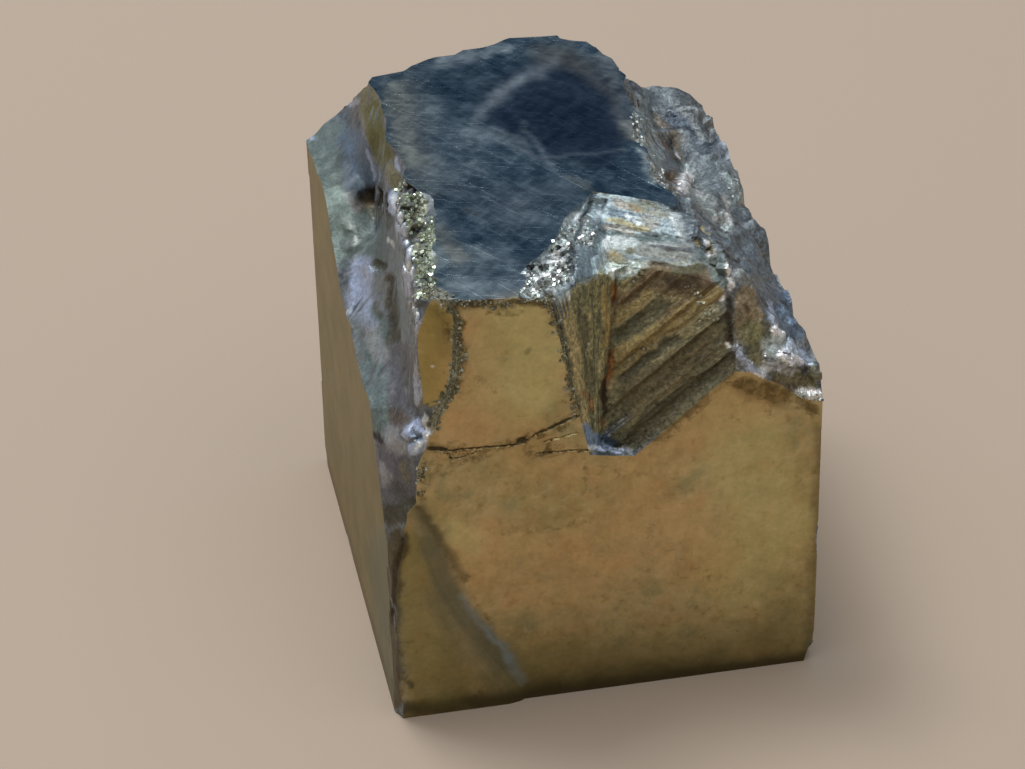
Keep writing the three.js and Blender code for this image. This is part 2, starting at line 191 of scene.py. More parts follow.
# The crystal: the solid's own surface, cut finer where it is broken, then given its relief.
# Lengths are in mm from the middle of the base, and brush strokes in pixels of the picture.
crystalLook = {
    "breakEdge": 0.32,  # longest edge on broken areas
    "wallEdge": 0.42,  # on the imprint's walls
    "faceEdge": 1.6,  # on the front and the top
    "sideEdge": 5.0,
    "slopeEdge": 0.5,
    "facetEdge": 0.6,
    "topEdge": 0.64,  # the finest on the top
    "hiddenEdge": 0.9,  # the finest where the picture doesn't show it
    "wearEdge": 0.3,  # along the cube's own edges
    "strokeEdge": 0.26,  # the finest that a brush stroke asks for
    "faintEdge": 0.6,  # the finest for a stroke that hardly shows
    "faceShare": 1.2,  # how long an edge may be in a stroke on a face, as a share of the stroke's half width
    "breakShare": 0.85,
    "crackEdge": 0.12,
    "crackDepth": 0.16,
    "wearDepth": 0.12,
    "coarseSize": 1.25,
    "coarseHeight": 0.3,
    "fineSize": 0.5,
    "fineHeight": 0.14,
    "swellSize": 1.7,
    "swellHeight": 0.5,
    "lumpSize": 2.1,
    "lumpHeight": 0.35,
    "softRounds": 9,
    "creaseAngle": 27,
    "seed": 5,  # for the wandering of painted borders
    # Colours, linear
    "brassDeep": (0.42, 0.345, 0.16),
    "brassLight": (0.50, 0.415, 0.22),
    "brassGreen": (0.345, 0.335, 0.18),
    "brassCopper": (0.52, 0.355, 0.17),
    "brassBrown": (0.32, 0.235, 0.10),
    "brassPale": (0.56, 0.465, 0.27),
    "sideShadeDeep": (0.265, 0.265, 0.15),
    "sideShadeLight": (0.39, 0.365, 0.20),
    "brassPit": (0.10, 0.07, 0.03),
    "brassFootShade": (0.10, 0.08, 0.04),
    "grit": (0.11, 0.078, 0.03),
    "crack": (0.04, 0.03, 0.016),
    "brassSheen": (0.62, 0.58, 0.52),
    # the top's blue is partly painted reflection of the dark room behind
    "steelDeep": (0.08, 0.145, 0.20),
    "steelHaze": (0.205, 0.27, 0.305),
    "steelLeft": (0.21, 0.245, 0.235),
    "scratch": (0.34, 0.39, 0.42),
    "steelSheen": (0.7, 0.78, 0.85),
    "breakDeep": (0.085, 0.10, 0.11),
    "breakLight": (0.25, 0.27, 0.285),
    "breakPit": (0.045, 0.04, 0.033),
    # painted glint on small facets
    "flash": (0.74, 0.78, 0.76),
    "imprint": [(0.32, (0.06, 0.066, 0.056)), (0.46, (0.15, 0.15, 0.088)), (0.58, (0.28, 0.24, 0.13)),
                (0.72, (0.37, 0.30, 0.17))],  # from the dark stripes to the light ones
}

frontAt = -16.825  # the front's terraces, of which this one is the largest
frontMost = -17.175
rightAt = 15.0
rightSteps = (0, 0.28, 0.5, 0.24)  # how far each terrace on the right lies inside it
backLean = 0.0537  # the back leans by this share of the height
backAt = 17.175  # where it meets the top
topAtBack = 33.41
topLean = (0.0598, 0.01694)  # the top falls to the right and rises to the back
terraceDepth = 0.8  # no growth terrace on the right and the back is deeper
terraceTop = 27.0
bandRight = -8.0  # the broken band on the left ends here
cornerLeft = 5.5  # the fractured corner on the right begins here
softFrom = 13.5  # the picture is too soft to show small forms further back

# Cracks in the front face: half their width, and the places they run through
cracks = [
    (0.8, [(447, 451), (470, 449), (505, 446), (522, 444), (535, 435), (550, 429), (566, 421), (578, 416)]),
    (1.84, [(430, 449), (436, 449), (446, 450)]),
    (3.2, [(520, 442), (524, 441)]),
    (1.3, [(538, 434), (552, 428), (570, 419)]),
    (0.56, [(536, 454), (552, 452), (571, 451), (590, 450)]),
    (0.48, [(545, 441), (560, 438), (577, 433)]),
    (0.48, [(446, 452), (452, 459), (460, 458), (477, 452)]),
]

# Tones laid over the surface's own by brush strokes: colour as seen, roughness, glitter. Several are painted
# light: reflections, highlights, glints and shade
tonesAndLight = {
    # teal and blue: mostly painted reflections of the sky on ledges and slopes that face up
    "teal": ((90, 103, 103), 0.45, 0.0),
    "blue": ((80, 94, 112), 0.4, 0.0),
    # painted reflection of the pale window and sky, on ridges and slopes that face it
    "lavenderReflection": ((138, 149, 170), 0.35, 0.0),
    "lilac": ((136, 138, 142), 0.4, 0.1),
    "plum": ((85, 87, 92), 0.5, 0.03),
    "stone": ((104, 110, 112), 0.45, 0.1),
    # painted glint: a bright dab where a facet catches the lamp
    "paintedGlint": ((198, 205, 206), 0.3, 0.15),
    "cream": ((140, 142, 130), 0.4, 0.1),
    "tan": ((108, 100, 82), 0.35, 0.0),
    "rose": ((138, 132, 122), 0.4, 0.1),
    "ochre": ((134, 124, 86), 0.4, 0.0),
    "orange": ((150, 104, 62), 0.5, 0.0),
    "rust": ((84, 52, 26), 0.6, 0.0),
    "olive": ((86, 88, 58), 0.5, 0.05),
    "khaki": ((102, 100, 78), 0.5, 0.1),
    "bark": ((74, 62, 44), 0.6, 0.1),
    "sand": ((110, 98, 66), 0.45, 0.1),
    # painted shade in grooves, pits and along the imprint's borders
    "greyGreenShade": ((64, 63, 50), 0.6, 0.07),
    # painted shade in holes, grooves and under lips, and dark lines along edges
    "sootAndShade": ((38, 31, 24), 0.75, 0.0),
    "crust": ((120, 131, 114), 0.35, 0.8),
    "glitter": ((156, 170, 170), 0.3, 0.9),
    "amber": ((114, 92, 50), 0.35, 0.0),
    "peach": ((144, 108, 70), 0.25, 0.0),
    "straw": ((142, 126, 82), 0.25, 0.0),
    "shade": ((84, 72, 40), 0.35, 0.0),
    "umber": ((46, 38, 22), 0.5, 0.0),
    "ash": ((74, 67, 50), 0.45, 0.0),
    # haze on the top; on the breaks and the slope band a painted highlight
    "hazeAndSheen": ((104, 117, 127), 0.4, 0.0),
    "fog": ((84, 86, 82), 0.45, 0.0),
    # painted reflection of the dark room on the top, and painted shade in hollows
    "darkReflectionAndShade": ((20, 31, 46), 0.2, 0.0),
    # painted reflection of the pale sky
    "sky": ((132, 146, 152), 0.35, 0.05),
    "dirt": (None, 0.6, 1.0),
    "slate": ((82, 91, 98), 0.5, 0.1),
    "dusk": ((84, 86, 97), 0.5, 0.05),
    "moor": ((76, 72, 55), 0.6, 0.1),
}

# Lines that are used twice, mostly painted and also raised or sunken
facetRim = [(450, 303), (456, 318), (454, 335), (457, 352), (455, 374), (450, 392), (440, 407), (433, 422)]
bandPit = [(376, 265), (384, 266)]
bandStep = [(418, 199), (411, 214), (406, 208)]
bandTip = [(410, 433), (424, 424), (428, 434), (424, 446), (412, 451)]
tipPit = [(416, 437), (421, 438)]
shelfEdge = [(594, 192), (588, 209), (579, 235), (571, 262), (573, 272)]
cornerHollow = [(672, 118), (686, 118), (698, 128), (706, 142)]
cornerFoot = [(735, 349), (741, 361), (751, 370), (762, 374)]
wallGroove = [(617, 336), (640, 319), (662, 305)]
bandUpper = [(341, 214), (347, 236)]
bandLower = [(352, 253), (365, 247)]

# Brush strokes: tone, half its width, softness of its border, strength, places it runs through
strokesOnFaces = [
    # The top: haze and scratches, with painted reflections of the dark room and of the pale sky
    ("fog", 12, 20, 0.25, [(405, 100), (414, 150), (424, 190)]),
    ("cream", 6, 14, 0.2, [(396, 94), (403, 126), (412, 158)]),
    ("sky", 9, 16, 0.12, [(436, 232), (450, 268), (476, 262)]),
    ("sky", 8, 14, 0.13, [(464, 144), (478, 160)]),
    ("sky", 8, 12, 0.12, [(500, 278), (522, 272)]),
    ("hazeAndSheen", 8, 26, 0.12, [(430, 120), (450, 170), (470, 200)]),
    ("darkReflectionAndShade", 18, 24, 0.5, [(452, 75), (470, 95)]),
    ("darkReflectionAndShade", 20, 26, 0.95, [(515, 105), (560, 80), (592, 105), (596, 135), (560, 130)]),
    ("darkReflectionAndShade", 12, 14, 0.9, [(580, 128), (600, 146)]),
    ("hazeAndSheen", 1, 10, 0.3, [(473, 126), (487, 108), (502, 94), (520, 77), (544, 68), (556, 57)]),
    ("hazeAndSheen", 0.5, 4, 0.25, [(484, 112), (500, 92), (522, 76)]),
    ("hazeAndSheen", 3, 8, 0.42, [(466, 133), (490, 135), (507, 139), (521, 146)]),
    ("darkReflectionAndShade", 1.5, 4, 0.6, [(521, 149), (538, 158)]),
    ("hazeAndSheen", 0.5, 5, 0.25, [(524, 126), (538, 143), (551, 168), (569, 177), (591, 190)]),
    ("fog", 1, 5, 0.4, [(569, 177), (591, 190)]),
    ("hazeAndSheen", 0.3, 3, 0.18, [(551, 157), (584, 154), (624, 150)]),
    ("hazeAndSheen", 0.5, 4, 0.2, [(520, 150), (551, 166)]),
    ("hazeAndSheen", 12, 26, 0.2, [(495, 205), (530, 212), (560, 205)]),
    ("darkReflectionAndShade", 7, 14, 0.4, [(540, 180), (565, 195)]),
    ("darkReflectionAndShade", 6, 26, 0.35, [(450, 190), (490, 200), (520, 240)]),
    ("fog", 3, 10, 0.5, [(438, 232), (448, 246), (460, 258)]),
    ("hazeAndSheen", 0.6, 4, 0.25, [(473, 246), (491, 257), (509, 259)]),
    ("hazeAndSheen", 5, 12, 0.45, [(455, 286), (490, 290), (520, 288)]),
    ("hazeAndSheen", 3, 8, 0.5, [(440, 60), (460, 55), (487, 54)]),
    ("hazeAndSheen", 2, 6, 0.6, [(491, 46), (506, 47)]),
    ("fog", 4, 14, 0.35, [(540, 52), (566, 56), (584, 66)]),
    ("fog", 3, 12, 0.22, [(600, 80), (620, 100), (628, 130)]),
    ("darkReflectionAndShade", 3, 8, 0.5, [(418, 132), (422, 146)]),
    ("sootAndShade", 0.6, 1.6, 0.5, [(461, 209), (476, 214)]),
    # The amber facet
    ("amber", 15, 4, 0.85, [(434, 320), (435, 350), (430, 398)]),
    ("shade", 5, 8, 0.5, [(434, 312), (440, 322), (446, 345)]),
    ("stone", 4, 4, 0.9, [(424, 288), (436, 293), (448, 296)]),
    ("paintedGlint", 0.3, 1.4, 0.7, [(432, 366), (433, 366)]),
    # The front
    ("peach", 16, 22, 0.3, [(470, 346), (466, 385), (470, 420)]),
    ("straw", 14, 20, 0.5, [(522, 318), (540, 345), (532, 390)]),
    ("peach", 14, 22, 0.3, [(450, 430), (500, 425), (560, 470)]),
    ("straw", 24, 34, 0.4, [(740, 440), (770, 520), (740, 570)]),
    ("peach", 16, 30, 0.32, [(640, 470), (680, 430), (740, 400)]),
    ("peach", 22, 34, 0.36, [(480, 560), (560, 575), (640, 530), (700, 550)]),
    ("straw", 6, 16, 0.4, [(455, 530), (470, 542)]),
    # Painted shade: darker along the foot, the right edge, the lower left and the slope band, with a painted
    # highlight along the slope's edge
    ("shade", 8, 22, 0.2, [(765, 580), (785, 610), (770, 640)]),
    ("shade", 4, 50, 0.6, [(520, 680), (650, 668), (800, 655)]),
    ("umber", 2, 34, 0.6, [(530, 696), (650, 682), (720, 676)]),
    ("umber", 2, 11, 0.9, [(398, 712), (470, 704), (560, 692), (640, 682), (803, 660)]),
    ("umber", 1, 9, 0.45, [(820, 430), (818, 520), (812, 600), (806, 655)]),
    ("shade", 26, 14, 0.62, [(400, 560), (414, 620), (440, 680)]),
    ("ash", 3, 14, 0.7, [(419, 512), (431, 540), (444, 575), (462, 608), (486, 636), (512, 664)]),
    ("ash", 5, 20, 0.5, [(440, 600), (468, 645), (500, 680)]),
    ("ash", 4, 14, 0.6, [(432, 548), (446, 585), (470, 625), (496, 660)]),
    ("hazeAndSheen", 0.5, 6, 0.2, [(464, 596), (480, 625)]),
    ("hazeAndSheen", 0.5, 5, 0.34, [(484, 630), (499, 645), (509, 658)]),
    ("hazeAndSheen", 1.5, 7, 0.24, [(511, 660), (520, 680)]),
    ("umber", 1.2, 6, 0.5, [(420, 508), (440, 538), (452, 556), (464, 578)]),
    ("umber", 1.2, 4, 0.8, [(407, 536), (401, 560), (397, 600), (397, 700)]),
    ("sootAndShade", 1.6, 2.5, 0.9, [(456, 301), (466, 304), (478, 304), (488, 301)]),
    ("sootAndShade", 1.2, 2.5, 0.8, [(514, 299), (530, 303), (548, 302)]),
    ("umber", 1.0, 3, 0.6, [(530, 348), (528, 352)]),
    ("umber", 1.2, 4, 0.6, [(455, 305), (458, 330)]),
    ("rust", 3, 9, 0.5, [(742, 388), (764, 392), (784, 396)]),
    ("umber", 1.0, 4, 0.7, [(407, 682), (411, 686)]),
    ("umber", 0.8, 3, 0.6, [(552, 303), (562, 335), (570, 370), (578, 412)]),
    ("umber", 0.8, 3, 0.5, [(622, 452), (660, 436), (690, 410), (732, 372)]),
    ("khaki", 2.4, 2.5, 0.85, facetRim),
    ("umber", 1, 2, 0.55, [(457, 318), (458, 342), (457, 372), (452, 393), (443, 407), (436, 421)]),
    ("shade", 3, 7, 0.3, [(744, 386), (762, 392), (786, 403)]),
    ("straw", 20, 28, 0.25, [(506, 332), (512, 388)]),
    ("dirt", 2, 4, 0.9, [(453, 303), (460, 320), (458, 340), (460, 360), (457, 380), (449, 398)]),
    ("dirt", 3, 6, 0.7, [(436, 308), (443, 322), (447, 338)]),
    ("dirt", 3, 6, 0.7, [(428, 448), (470, 450), (521, 441), (560, 424), (577, 413)]),
    ("dirt", 4, 9, 0.65, [(530, 452), (556, 448), (580, 450)]),
    ("dirt", 5, 9, 0.6, [(424, 470), (450, 462), (480, 455)]),
    ("dirt", 2, 5, 0.7, [(423, 456), (424, 472), (421, 490), (417, 504)]),
    ("fog", 5, 18, 0.4, [(383, 540), (385, 600), (388, 660), (392, 700)]),
    ("dirt", 4, 8, 0.8, [(740, 384), (755, 388), (772, 396)]),
    ("dirt", 4, 6, 0.9, [(746, 380), (768, 386), (790, 396), (812, 410)]),
    ("dirt", 5, 8, 0.45, [(752, 402), (770, 410)]),
    ("dirt", 3, 4, 0.9, [(452, 303), (475, 305), (500, 302), (530, 303), (550, 304)]),
    ("dirt", 2, 5, 0.6, [(490, 310), (520, 312)]),
    ("dirt", 2, 5, 0.7, [(549, 306), (560, 338), (568, 372), (576, 412)]),
    ("dirt", 3, 6, 0.6, [(628, 452), (664, 436), (694, 410), (734, 374)]),
    ("dirt", 2, 5, 0.6, [(404, 540), (400, 600), (400, 700)]),
    ("dirt", 3, 6, 0.5, [(402, 704), (450, 700), (500, 694)]),
    ("dirt", 1.5, 5, 0.5, [(500, 532), (545, 529), (590, 522)]),
    ("dirt", 2, 6, 0.5, [(425, 520), (445, 552), (470, 590), (500, 640)]),
    ("dirt", 3, 8, 0.45, [(590, 470), (620, 476)]),
    ("dirt", 1, 4, 0.6, [(587, 462), (585, 480), (583, 500)]),
    ("dirt", 4, 12, 0.35, [(470, 350), (480, 385)]),
    ("dirt", 5, 14, 0.35, [(640, 520), (680, 560), (740, 590)]),
    ("dirt", 2, 6, 0.5, [(725, 412), (736, 420)]),
    # Again the top, with more painted reflections of the dark room and the sky
    ("slate", 5, 5, 0.85, [(603, 58), (611, 69), (617, 80)]),
    ("stone", 3, 4, 0.7, [(628, 126), (629, 134)]),
    ("darkReflectionAndShade", 8, 12, 0.35, [(510, 196), (530, 204)]),
    ("darkReflectionAndShade", 8, 12, 0.4, [(514, 116), (524, 128)]),
    ("darkReflectionAndShade", 6, 12, 0.3, [(572, 156), (590, 160)]),
    ("sky", 2, 4, 0.55, [(641, 150), (646, 164), (651, 180)]),
]
strokesOnBreaks = [
    # The band on the left: painted reflections of the sky on its ledges, painted highlights on its ridges
    # and ribs, painted shade in its hollows and grooves
    ("teal", 26, 14, 1, [(328, 150), (338, 165), (334, 200), (330, 225)]),
    ("blue", 9, 9, 0.8, [(352, 140), (358, 165), (356, 185)]),
    ("slate", 5, 7, 0.85, [(348, 110), (360, 99)]),
    ("lavenderReflection", 1.5, 2.5, 0.8, [(352, 106), (359, 100)]),
    ("lavenderReflection", 1.5, 3, 0.8, [(309, 137), (314, 138)]),
    ("khaki", 8, 5, 0.9, [(366, 92), (372, 112), (377, 135)]),
    ("olive", 7, 5, 1, [(374, 112), (378, 140), (386, 158)]),
    ("olive", 4, 4, 1, [(376, 128), (380, 146)]),
    ("khaki", 6, 5, 0.9, [(389, 166), (395, 180)]),
    ("blue", 2.4, 3, 1, [(362, 140), (368, 153), (373, 178)]),
    ("lavenderReflection", 1.2, 2, 0.7, [(366, 150), (370, 160), (373, 178)]),
    ("lavenderReflection", 1.4, 2, 0.9, [(397, 158), (400, 168)]),
    ("teal", 12, 10, 0.9, [(372, 225), (376, 245), (370, 262)]),
    ("slate", 6, 8, 0.6, [(384, 232), (390, 250), (392, 266)]),
    ("greyGreenShade", 8, 6, 0.8, [(372, 200), (380, 208), (384, 219)]),
    ("bark", 5, 5, 0.7, [(361, 203), (368, 199)]),
    ("sootAndShade", 5, 5, 0.92, [(372, 190), (380, 196), (384, 207)]),
    ("sootAndShade", 2.5, 4, 0.85, [(358, 202), (366, 199), (374, 196)]),
    ("slate", 3, 5, 0.6, [(372, 229), (382, 227), (386, 222)]),
    ("lilac", 1.5, 3.5, 0.36, [(346, 221), (356, 227)]),
    ("sootAndShade", 1.2, 3, 0.7, [(345, 234), (352, 232)]),
    ("lilac", 1.5, 3.5, 0.36, [(343, 244), (358, 239)]),
    ("sootAndShade", 1.2, 3, 0.7, [(347, 251), (358, 248)]),
    ("cream", 1.6, 3, 0.42, [(350, 258), (362, 252)]),
    ("teal", 4, 5, 0.8, [(331, 218), (338, 242), (343, 262)]),
    ("lavenderReflection", 8, 8, 0.95, [(362, 266), (360, 285), (358, 306)]),
    ("rose", 2, 4, 0.32, [(364, 272), (370, 276)]),
    ("greyGreenShade", 3, 3, 0.8, bandPit),
    ("stone", 6, 6, 0.8, [(378, 282), (380, 300)]),
    ("teal", 13, 9, 0.95, [(368, 322), (372, 350), (375, 385), (377, 420)]),
    ("stone", 3, 4, 0.7, [(347, 290), (352, 320), (360, 360)]),
    ("greyGreenShade", 2.6, 4.5, 0.9, [(390, 280), (391, 296)]),
    ("greyGreenShade", 4.5, 6, 0.85, [(393, 302), (395, 325), (392, 345)]),
    ("greyGreenShade", 2.5, 3, 0.6, [(376, 303), (380, 312)]),
    ("cream", 1, 3.5, 0.32, [(374, 320), (375, 336), (372, 352)]),
    ("teal", 5, 5, 0.8, [(399, 262), (400, 290), (404, 312)]),
    ("cream", 0.8, 2.5, 0.4, [(398, 323), (402, 343)]),
    ("plum", 12, 7, 0.9, [(400, 356), (402, 385), (404, 410)]),
    ("lilac", 1.2, 2, 0.6, [(404, 388), (407, 392)]),
    ("bark", 6, 5, 0.6, [(396, 416), (402, 428)]),
    ("lilac", 2.2, 3, 0.9, [(411, 300), (418, 325), (421, 347), (420, 380), (418, 404)]),
    ("lavenderReflection", 1.2, 2, 0.8, [(419, 376), (418, 402)]),
    ("lavenderReflection", 3.4, 2.5, 1, [(393, 196), (394, 206), (396, 212)]),
    ("blue", 5, 3, 0.7, [(400, 224), (405, 238), (410, 254)]),
    ("lavenderReflection", 2.6, 2.2, 1, [(396, 218), (403, 232), (411, 250), (411, 259), (406, 272), (405, 288)]),
    ("paintedGlint", 1, 1.5, 0.59, [(398, 221), (408, 245), (412, 256)]),
    ("paintedGlint", 1.2, 2, 0.68, [(391, 242), (393, 243)]),
    ("khaki", 9, 5, 1, [(404, 192), (410, 205), (416, 230), (420, 260), (422, 285)]),
    ("crust", 11, 4, 1, [(406, 192), (414, 205), (421, 235), (424, 262), (427, 288)]),
    ("lavenderReflection", 3.8, 2.4, 1, [(393, 194), (396, 212), (403, 232), (410, 250), (409, 266), (407, 290)]),
    ("paintedGlint", 1.8, 2, 0.8, [(394, 196), (398, 218), (405, 238), (411, 254), (408, 272)]),
    ("blue", 1, 1.6, 0.6, [(404, 240), (408, 252), (407, 262)]),
    ("sootAndShade", 2.4, 2, 1, [(402, 189), (408, 186), (413, 187)]),
    ("sootAndShade", 1.8, 2, 0.95, bandStep),
    ("greyGreenShade", 2.4, 4.5, 0.8, [(413, 226), (417, 240)]),
    ("cream", 3, 2.5, 0.54, [(424, 206), (426, 213)]),
    ("cream", 3, 3, 0.42, [(419, 245), (423, 249)]),
    ("paintedGlint", 1.2, 2, 0.68, [(432, 253), (434, 256)]),
    ("glitter", 4, 3, 1, [(429, 274), (434, 288), (442, 296)]),
    ("paintedGlint", 1.6, 2, 0.68, [(434, 290), (440, 297), (450, 299)]),
    ("plum", 16, 6, 1, [(394, 448), (396, 480), (402, 500)]),
    ("stone", 2.5, 6, 0.7, [(386, 437), (398, 440), (408, 449)]),
    ("lavenderReflection", 4.5, 3, 0.95, bandTip),
    ("paintedGlint", 1.3, 2, 0.66, [(425, 417), (429, 426), (427, 440), (416, 450)]),
    ("dusk", 9, 8, 0.6, [(392, 462), (398, 492)]),
    ("blue", 3, 2, 1, tipPit),
    ("sootAndShade", 1, 4, 0.8, [(375, 433), (380, 439)]),
    ("lilac", 1.5, 6, 0.6, [(382, 466), (387, 484)]),
    ("khaki", 3, 4, 0.6, [(404, 464), (407, 476)]),
    ("greyGreenShade", 4, 6, 0.5, [(394, 488), (400, 494)]),
    ("greyGreenShade", 9, 6, 0.85, [(392, 514), (404, 512), (412, 508)]),
    ("teal", 1.2, 2.5, 0.5, [(388, 533), (397, 530), (406, 527)]),
    ("ash", 8, 4, 0.95, [(396, 540), (393, 570), (391, 620), (394, 700)]),
    ("umber", 2, 3, 0.8, [(404, 538), (397, 566), (393, 620)]),
    # The rim between the amber facet and the front
    ("khaki", 2.6, 3, 0.95, [(448, 302), (455, 315), (453, 332), (456, 350), (455, 372), (450, 390),
                             (440, 406), (432, 424)]),
    ("khaki", 4, 3, 0.9, [(426, 403), (437, 402)]),
    ("cream", 2, 3, 0.42, [(449, 392), (440, 407), (433, 422)]),
    ("sootAndShade", 0.6, 1.4, 0.3, [(457, 322), (458, 344), (458, 372), (453, 392)]),
    ("paintedGlint", 0.8, 1, 0.68, [(453, 372), (454, 374)]),
    # The shelf above the imprint, and the slope beside it: painted reflections and glints, painted shade
    # under its lip
    ("sky", 24, 8, 0.75, [(545, 280), (565, 250), (583, 215)]),
    ("glitter", 9, 5, 0.9, [(532, 286), (552, 276), (566, 272)]),
    ("glitter", 8, 5, 0.7, [(560, 250), (572, 232)]),
    ("paintedGlint", 3.2, 2.5, 0.77, [(565, 221), (574, 217), (579, 219)]),
    ("lilac", 4, 4, 0.8, [(552, 262), (562, 252)]),
    ("paintedGlint", 2, 2, 0.72, [(538, 276), (550, 277), (558, 276)]),
    ("paintedGlint", 1.4, 1.6, 0.77, [(548, 291), (550, 292)]),
    ("cream", 2, 3, 0.48, [(562, 238), (570, 235)]),
    ("sootAndShade", 2.2, 2, 1, [(532, 266), (540, 268)]),
    ("sootAndShade", 1.4, 2, 0.9, [(518, 298), (532, 301), (550, 299)]),
    ("sootAndShade", 1.2, 2, 0.7, [(540, 298), (548, 294)]),
    ("sky", 9, 4, 0.8, [(594, 205), (595, 230), (592, 255), (588, 270)]),
    ("sky", 9, 6, 0.9, [(592, 240), (590, 258), (584, 270)]),
    ("stone", 3, 3, 0.8, [(604, 250), (601, 266)]),
    ("glitter", 4, 4, 0.8, [(586, 222), (584, 240), (592, 236)]),
    ("teal", 2.5, 2, 0.9, [(599, 232), (601, 242)]),
    ("slate", 1.3, 2.1, 0.9, shelfEdge),
    ("khaki", 2, 2, 0.9, [(594, 190), (604, 192), (614, 195), (632, 199), (652, 203), (670, 213)]),
    ("lavenderReflection", 1.3, 1.5, 0.8, [(624, 195), (632, 196)]),
    ("sky", 26, 6, 0.8, [(620, 220), (650, 240), (680, 240)]),
    ("rose", 3, 2, 0.8, [(616, 202), (630, 205), (640, 208)]),
    ("orange", 1.8, 1.6, 0.57, [(634, 205), (640, 210)]),
    ("ochre", 2.2, 2, 0.6, [(644, 212), (656, 214), (668, 216)]),
    ("hazeAndSheen", 3.6, 2, 1, [(612, 211), (622, 214), (634, 217)]),
    ("paintedGlint", 2.2, 2, 0.59, [(626, 216), (636, 221)]),
    ("ochre", 1.7, 1.6, 0.75, [(610, 219), (622, 223), (636, 229), (650, 231)]),
    ("rose", 2.4, 2, 0.72, [(606, 225), (618, 229), (630, 232)]),
    ("rose", 4, 3, 0.64, [(648, 222), (654, 224)]),
    ("paintedGlint", 1, 1.2, 0.85, [(640, 224), (641, 226)]),
    ("teal", 1.2, 1.4, 0.95, [(601, 230), (612, 233), (626, 237), (644, 238), (660, 237)]),
    ("paintedGlint", 6, 4, 0.68, [(610, 243), (620, 243), (631, 244)]),
    ("paintedGlint", 3, 3, 0.77, [(614, 241), (622, 240)]),
    ("khaki", 2.4, 2, 0.9, [(630, 252), (634, 253)]),
    ("rose", 7, 5, 0.48, [(646, 250), (668, 252), (688, 252)]),
    ("plum", 1, 1.2, 0.8, [(650, 246), (668, 248), (690, 250)]),
    ("sootAndShade", 0.7, 1, 0.7, [(664, 250), (676, 251)]),
    ("sootAndShade", 0.7, 1, 0.7, [(681, 251), (692, 254)]),
    ("paintedGlint", 0.9, 1.4, 0.51, [(648, 243), (662, 244), (676, 246)]),
    ("paintedGlint", 4.2, 2.5, 0.85, [(672, 215), (679, 224), (686, 235), (691, 242)]),
    ("teal", 2, 2, 0.6, [(664, 232), (676, 240)]),
    ("cream", 1.5, 1.4, 0.54, [(611, 258), (628, 261), (644, 264), (664, 266), (688, 261)]),
    ("paintedGlint", 0.9, 1, 0.77, [(638, 257), (639, 258)]),
    ("glitter", 5, 4, 0.9, [(610, 268), (622, 270), (632, 268)]),
    ("paintedGlint", 0.9, 1, 0.77, [(613, 272), (614, 273)]),
    ("paintedGlint", 0.9, 1, 0.77, [(628, 271), (630, 272)]),
    # The fractured corner: painted glints and reflections, and painted shade in its hollow
    ("slate", 40, 20, 0.9, [(700, 150), (730, 220), (770, 290)]),
    ("slate", 10, 10, 0.85, [(655, 96), (672, 94), (690, 102), (708, 122)]),
    ("cream", 3, 4, 0.48, [(630, 122), (633, 134)]),
    ("paintedGlint", 2.4, 3, 0.51, [(643, 158), (648, 168), (651, 178)]),
    ("bark", 8, 6, 0.7, [(652, 126), (664, 134), (684, 152)]),
    ("glitter", 5, 8, 0.6, [(634, 112), (640, 140), (652, 170), (668, 196)]),
    ("sky", 4, 8, 0.5, [(640, 100), (648, 130), (656, 160)]),
    ("slate", 10, 12, 0.75, [(694, 140), (708, 160)]),
    ("glitter", 5, 8, 0.35, [(690, 170), (704, 200), (724, 224)]),
    ("glitter", 4, 6, 0.3, [(722, 150), (738, 200)]),
    ("darkReflectionAndShade", 6, 9, 0.75, cornerHollow),
    ("lavenderReflection", 4, 5, 0.55, [(722, 146), (724, 158)]),
    ("rust", 1.5, 3, 0.45, [(663, 145), (665, 147)]),
    ("paintedGlint", 5, 4, 0.8, [(688, 178), (684, 186)]),
    ("bark", 4, 4, 0.8, [(672, 176), (672, 190)]),
    ("stone", 6, 6, 0.8, [(696, 192), (710, 208), (722, 218)]),
    ("paintedGlint", 2, 3, 0.47, [(697, 190), (699, 192)]),
    ("paintedGlint", 2, 3, 0.47, [(712, 217), (714, 218)]),
    ("paintedGlint", 2.5, 3, 0.51, [(725, 196), (728, 204)]),
    ("paintedGlint", 2.5, 3, 0.51, [(727, 214), (730, 220)]),
    ("sootAndShade", 1.6, 3, 0.6, [(720, 196), (718, 206)]),
    ("teal", 6, 6, 0.7, [(704, 256), (716, 264), (722, 276)]),
    ("paintedGlint", 3.2, 2.5, 0.81, [(705, 244), (709, 252)]),
    ("paintedGlint", 1.4, 2, 0.77, [(724, 266), (730, 272), (732, 282), (727, 293), (721, 298)]),
    ("sootAndShade", 2, 3, 0.8, [(726, 254), (736, 260)]),
    ("stone", 5, 4, 0.8, [(740, 272), (746, 284)]),
    ("tan", 11, 7, 0.95, [(748, 304), (749, 318), (750, 330)]),
    ("bark", 1.2, 2, 0.8, [(748, 306), (750, 308)]),
    ("bark", 1.2, 2, 0.6, [(738, 301), (739, 303)]),
    ("olive", 8, 6, 0.7, [(752, 330), (754, 344)]),
    ("sootAndShade", 1, 3, 0.4, [(761, 292), (764, 306), (765, 326)]),
    ("sootAndShade", 1, 3, 0.5, [(732, 300), (731, 320), (731, 340)]),
    ("lavenderReflection", 1.5, 2, 0.8, [(769, 306), (773, 324)]),
    ("lavenderReflection", 3, 3, 0.95, cornerFoot),
    ("khaki", 4, 3, 0.9, [(752, 358), (762, 363)]),
    ("paintedGlint", 2, 2, 0.85, [(757, 373), (763, 375)]),
    ("glitter", 8, 5, 0.8, [(772, 345), (790, 352), (800, 366)]),
    ("paintedGlint", 3, 2.5, 1, [(772, 331), (780, 337)]),
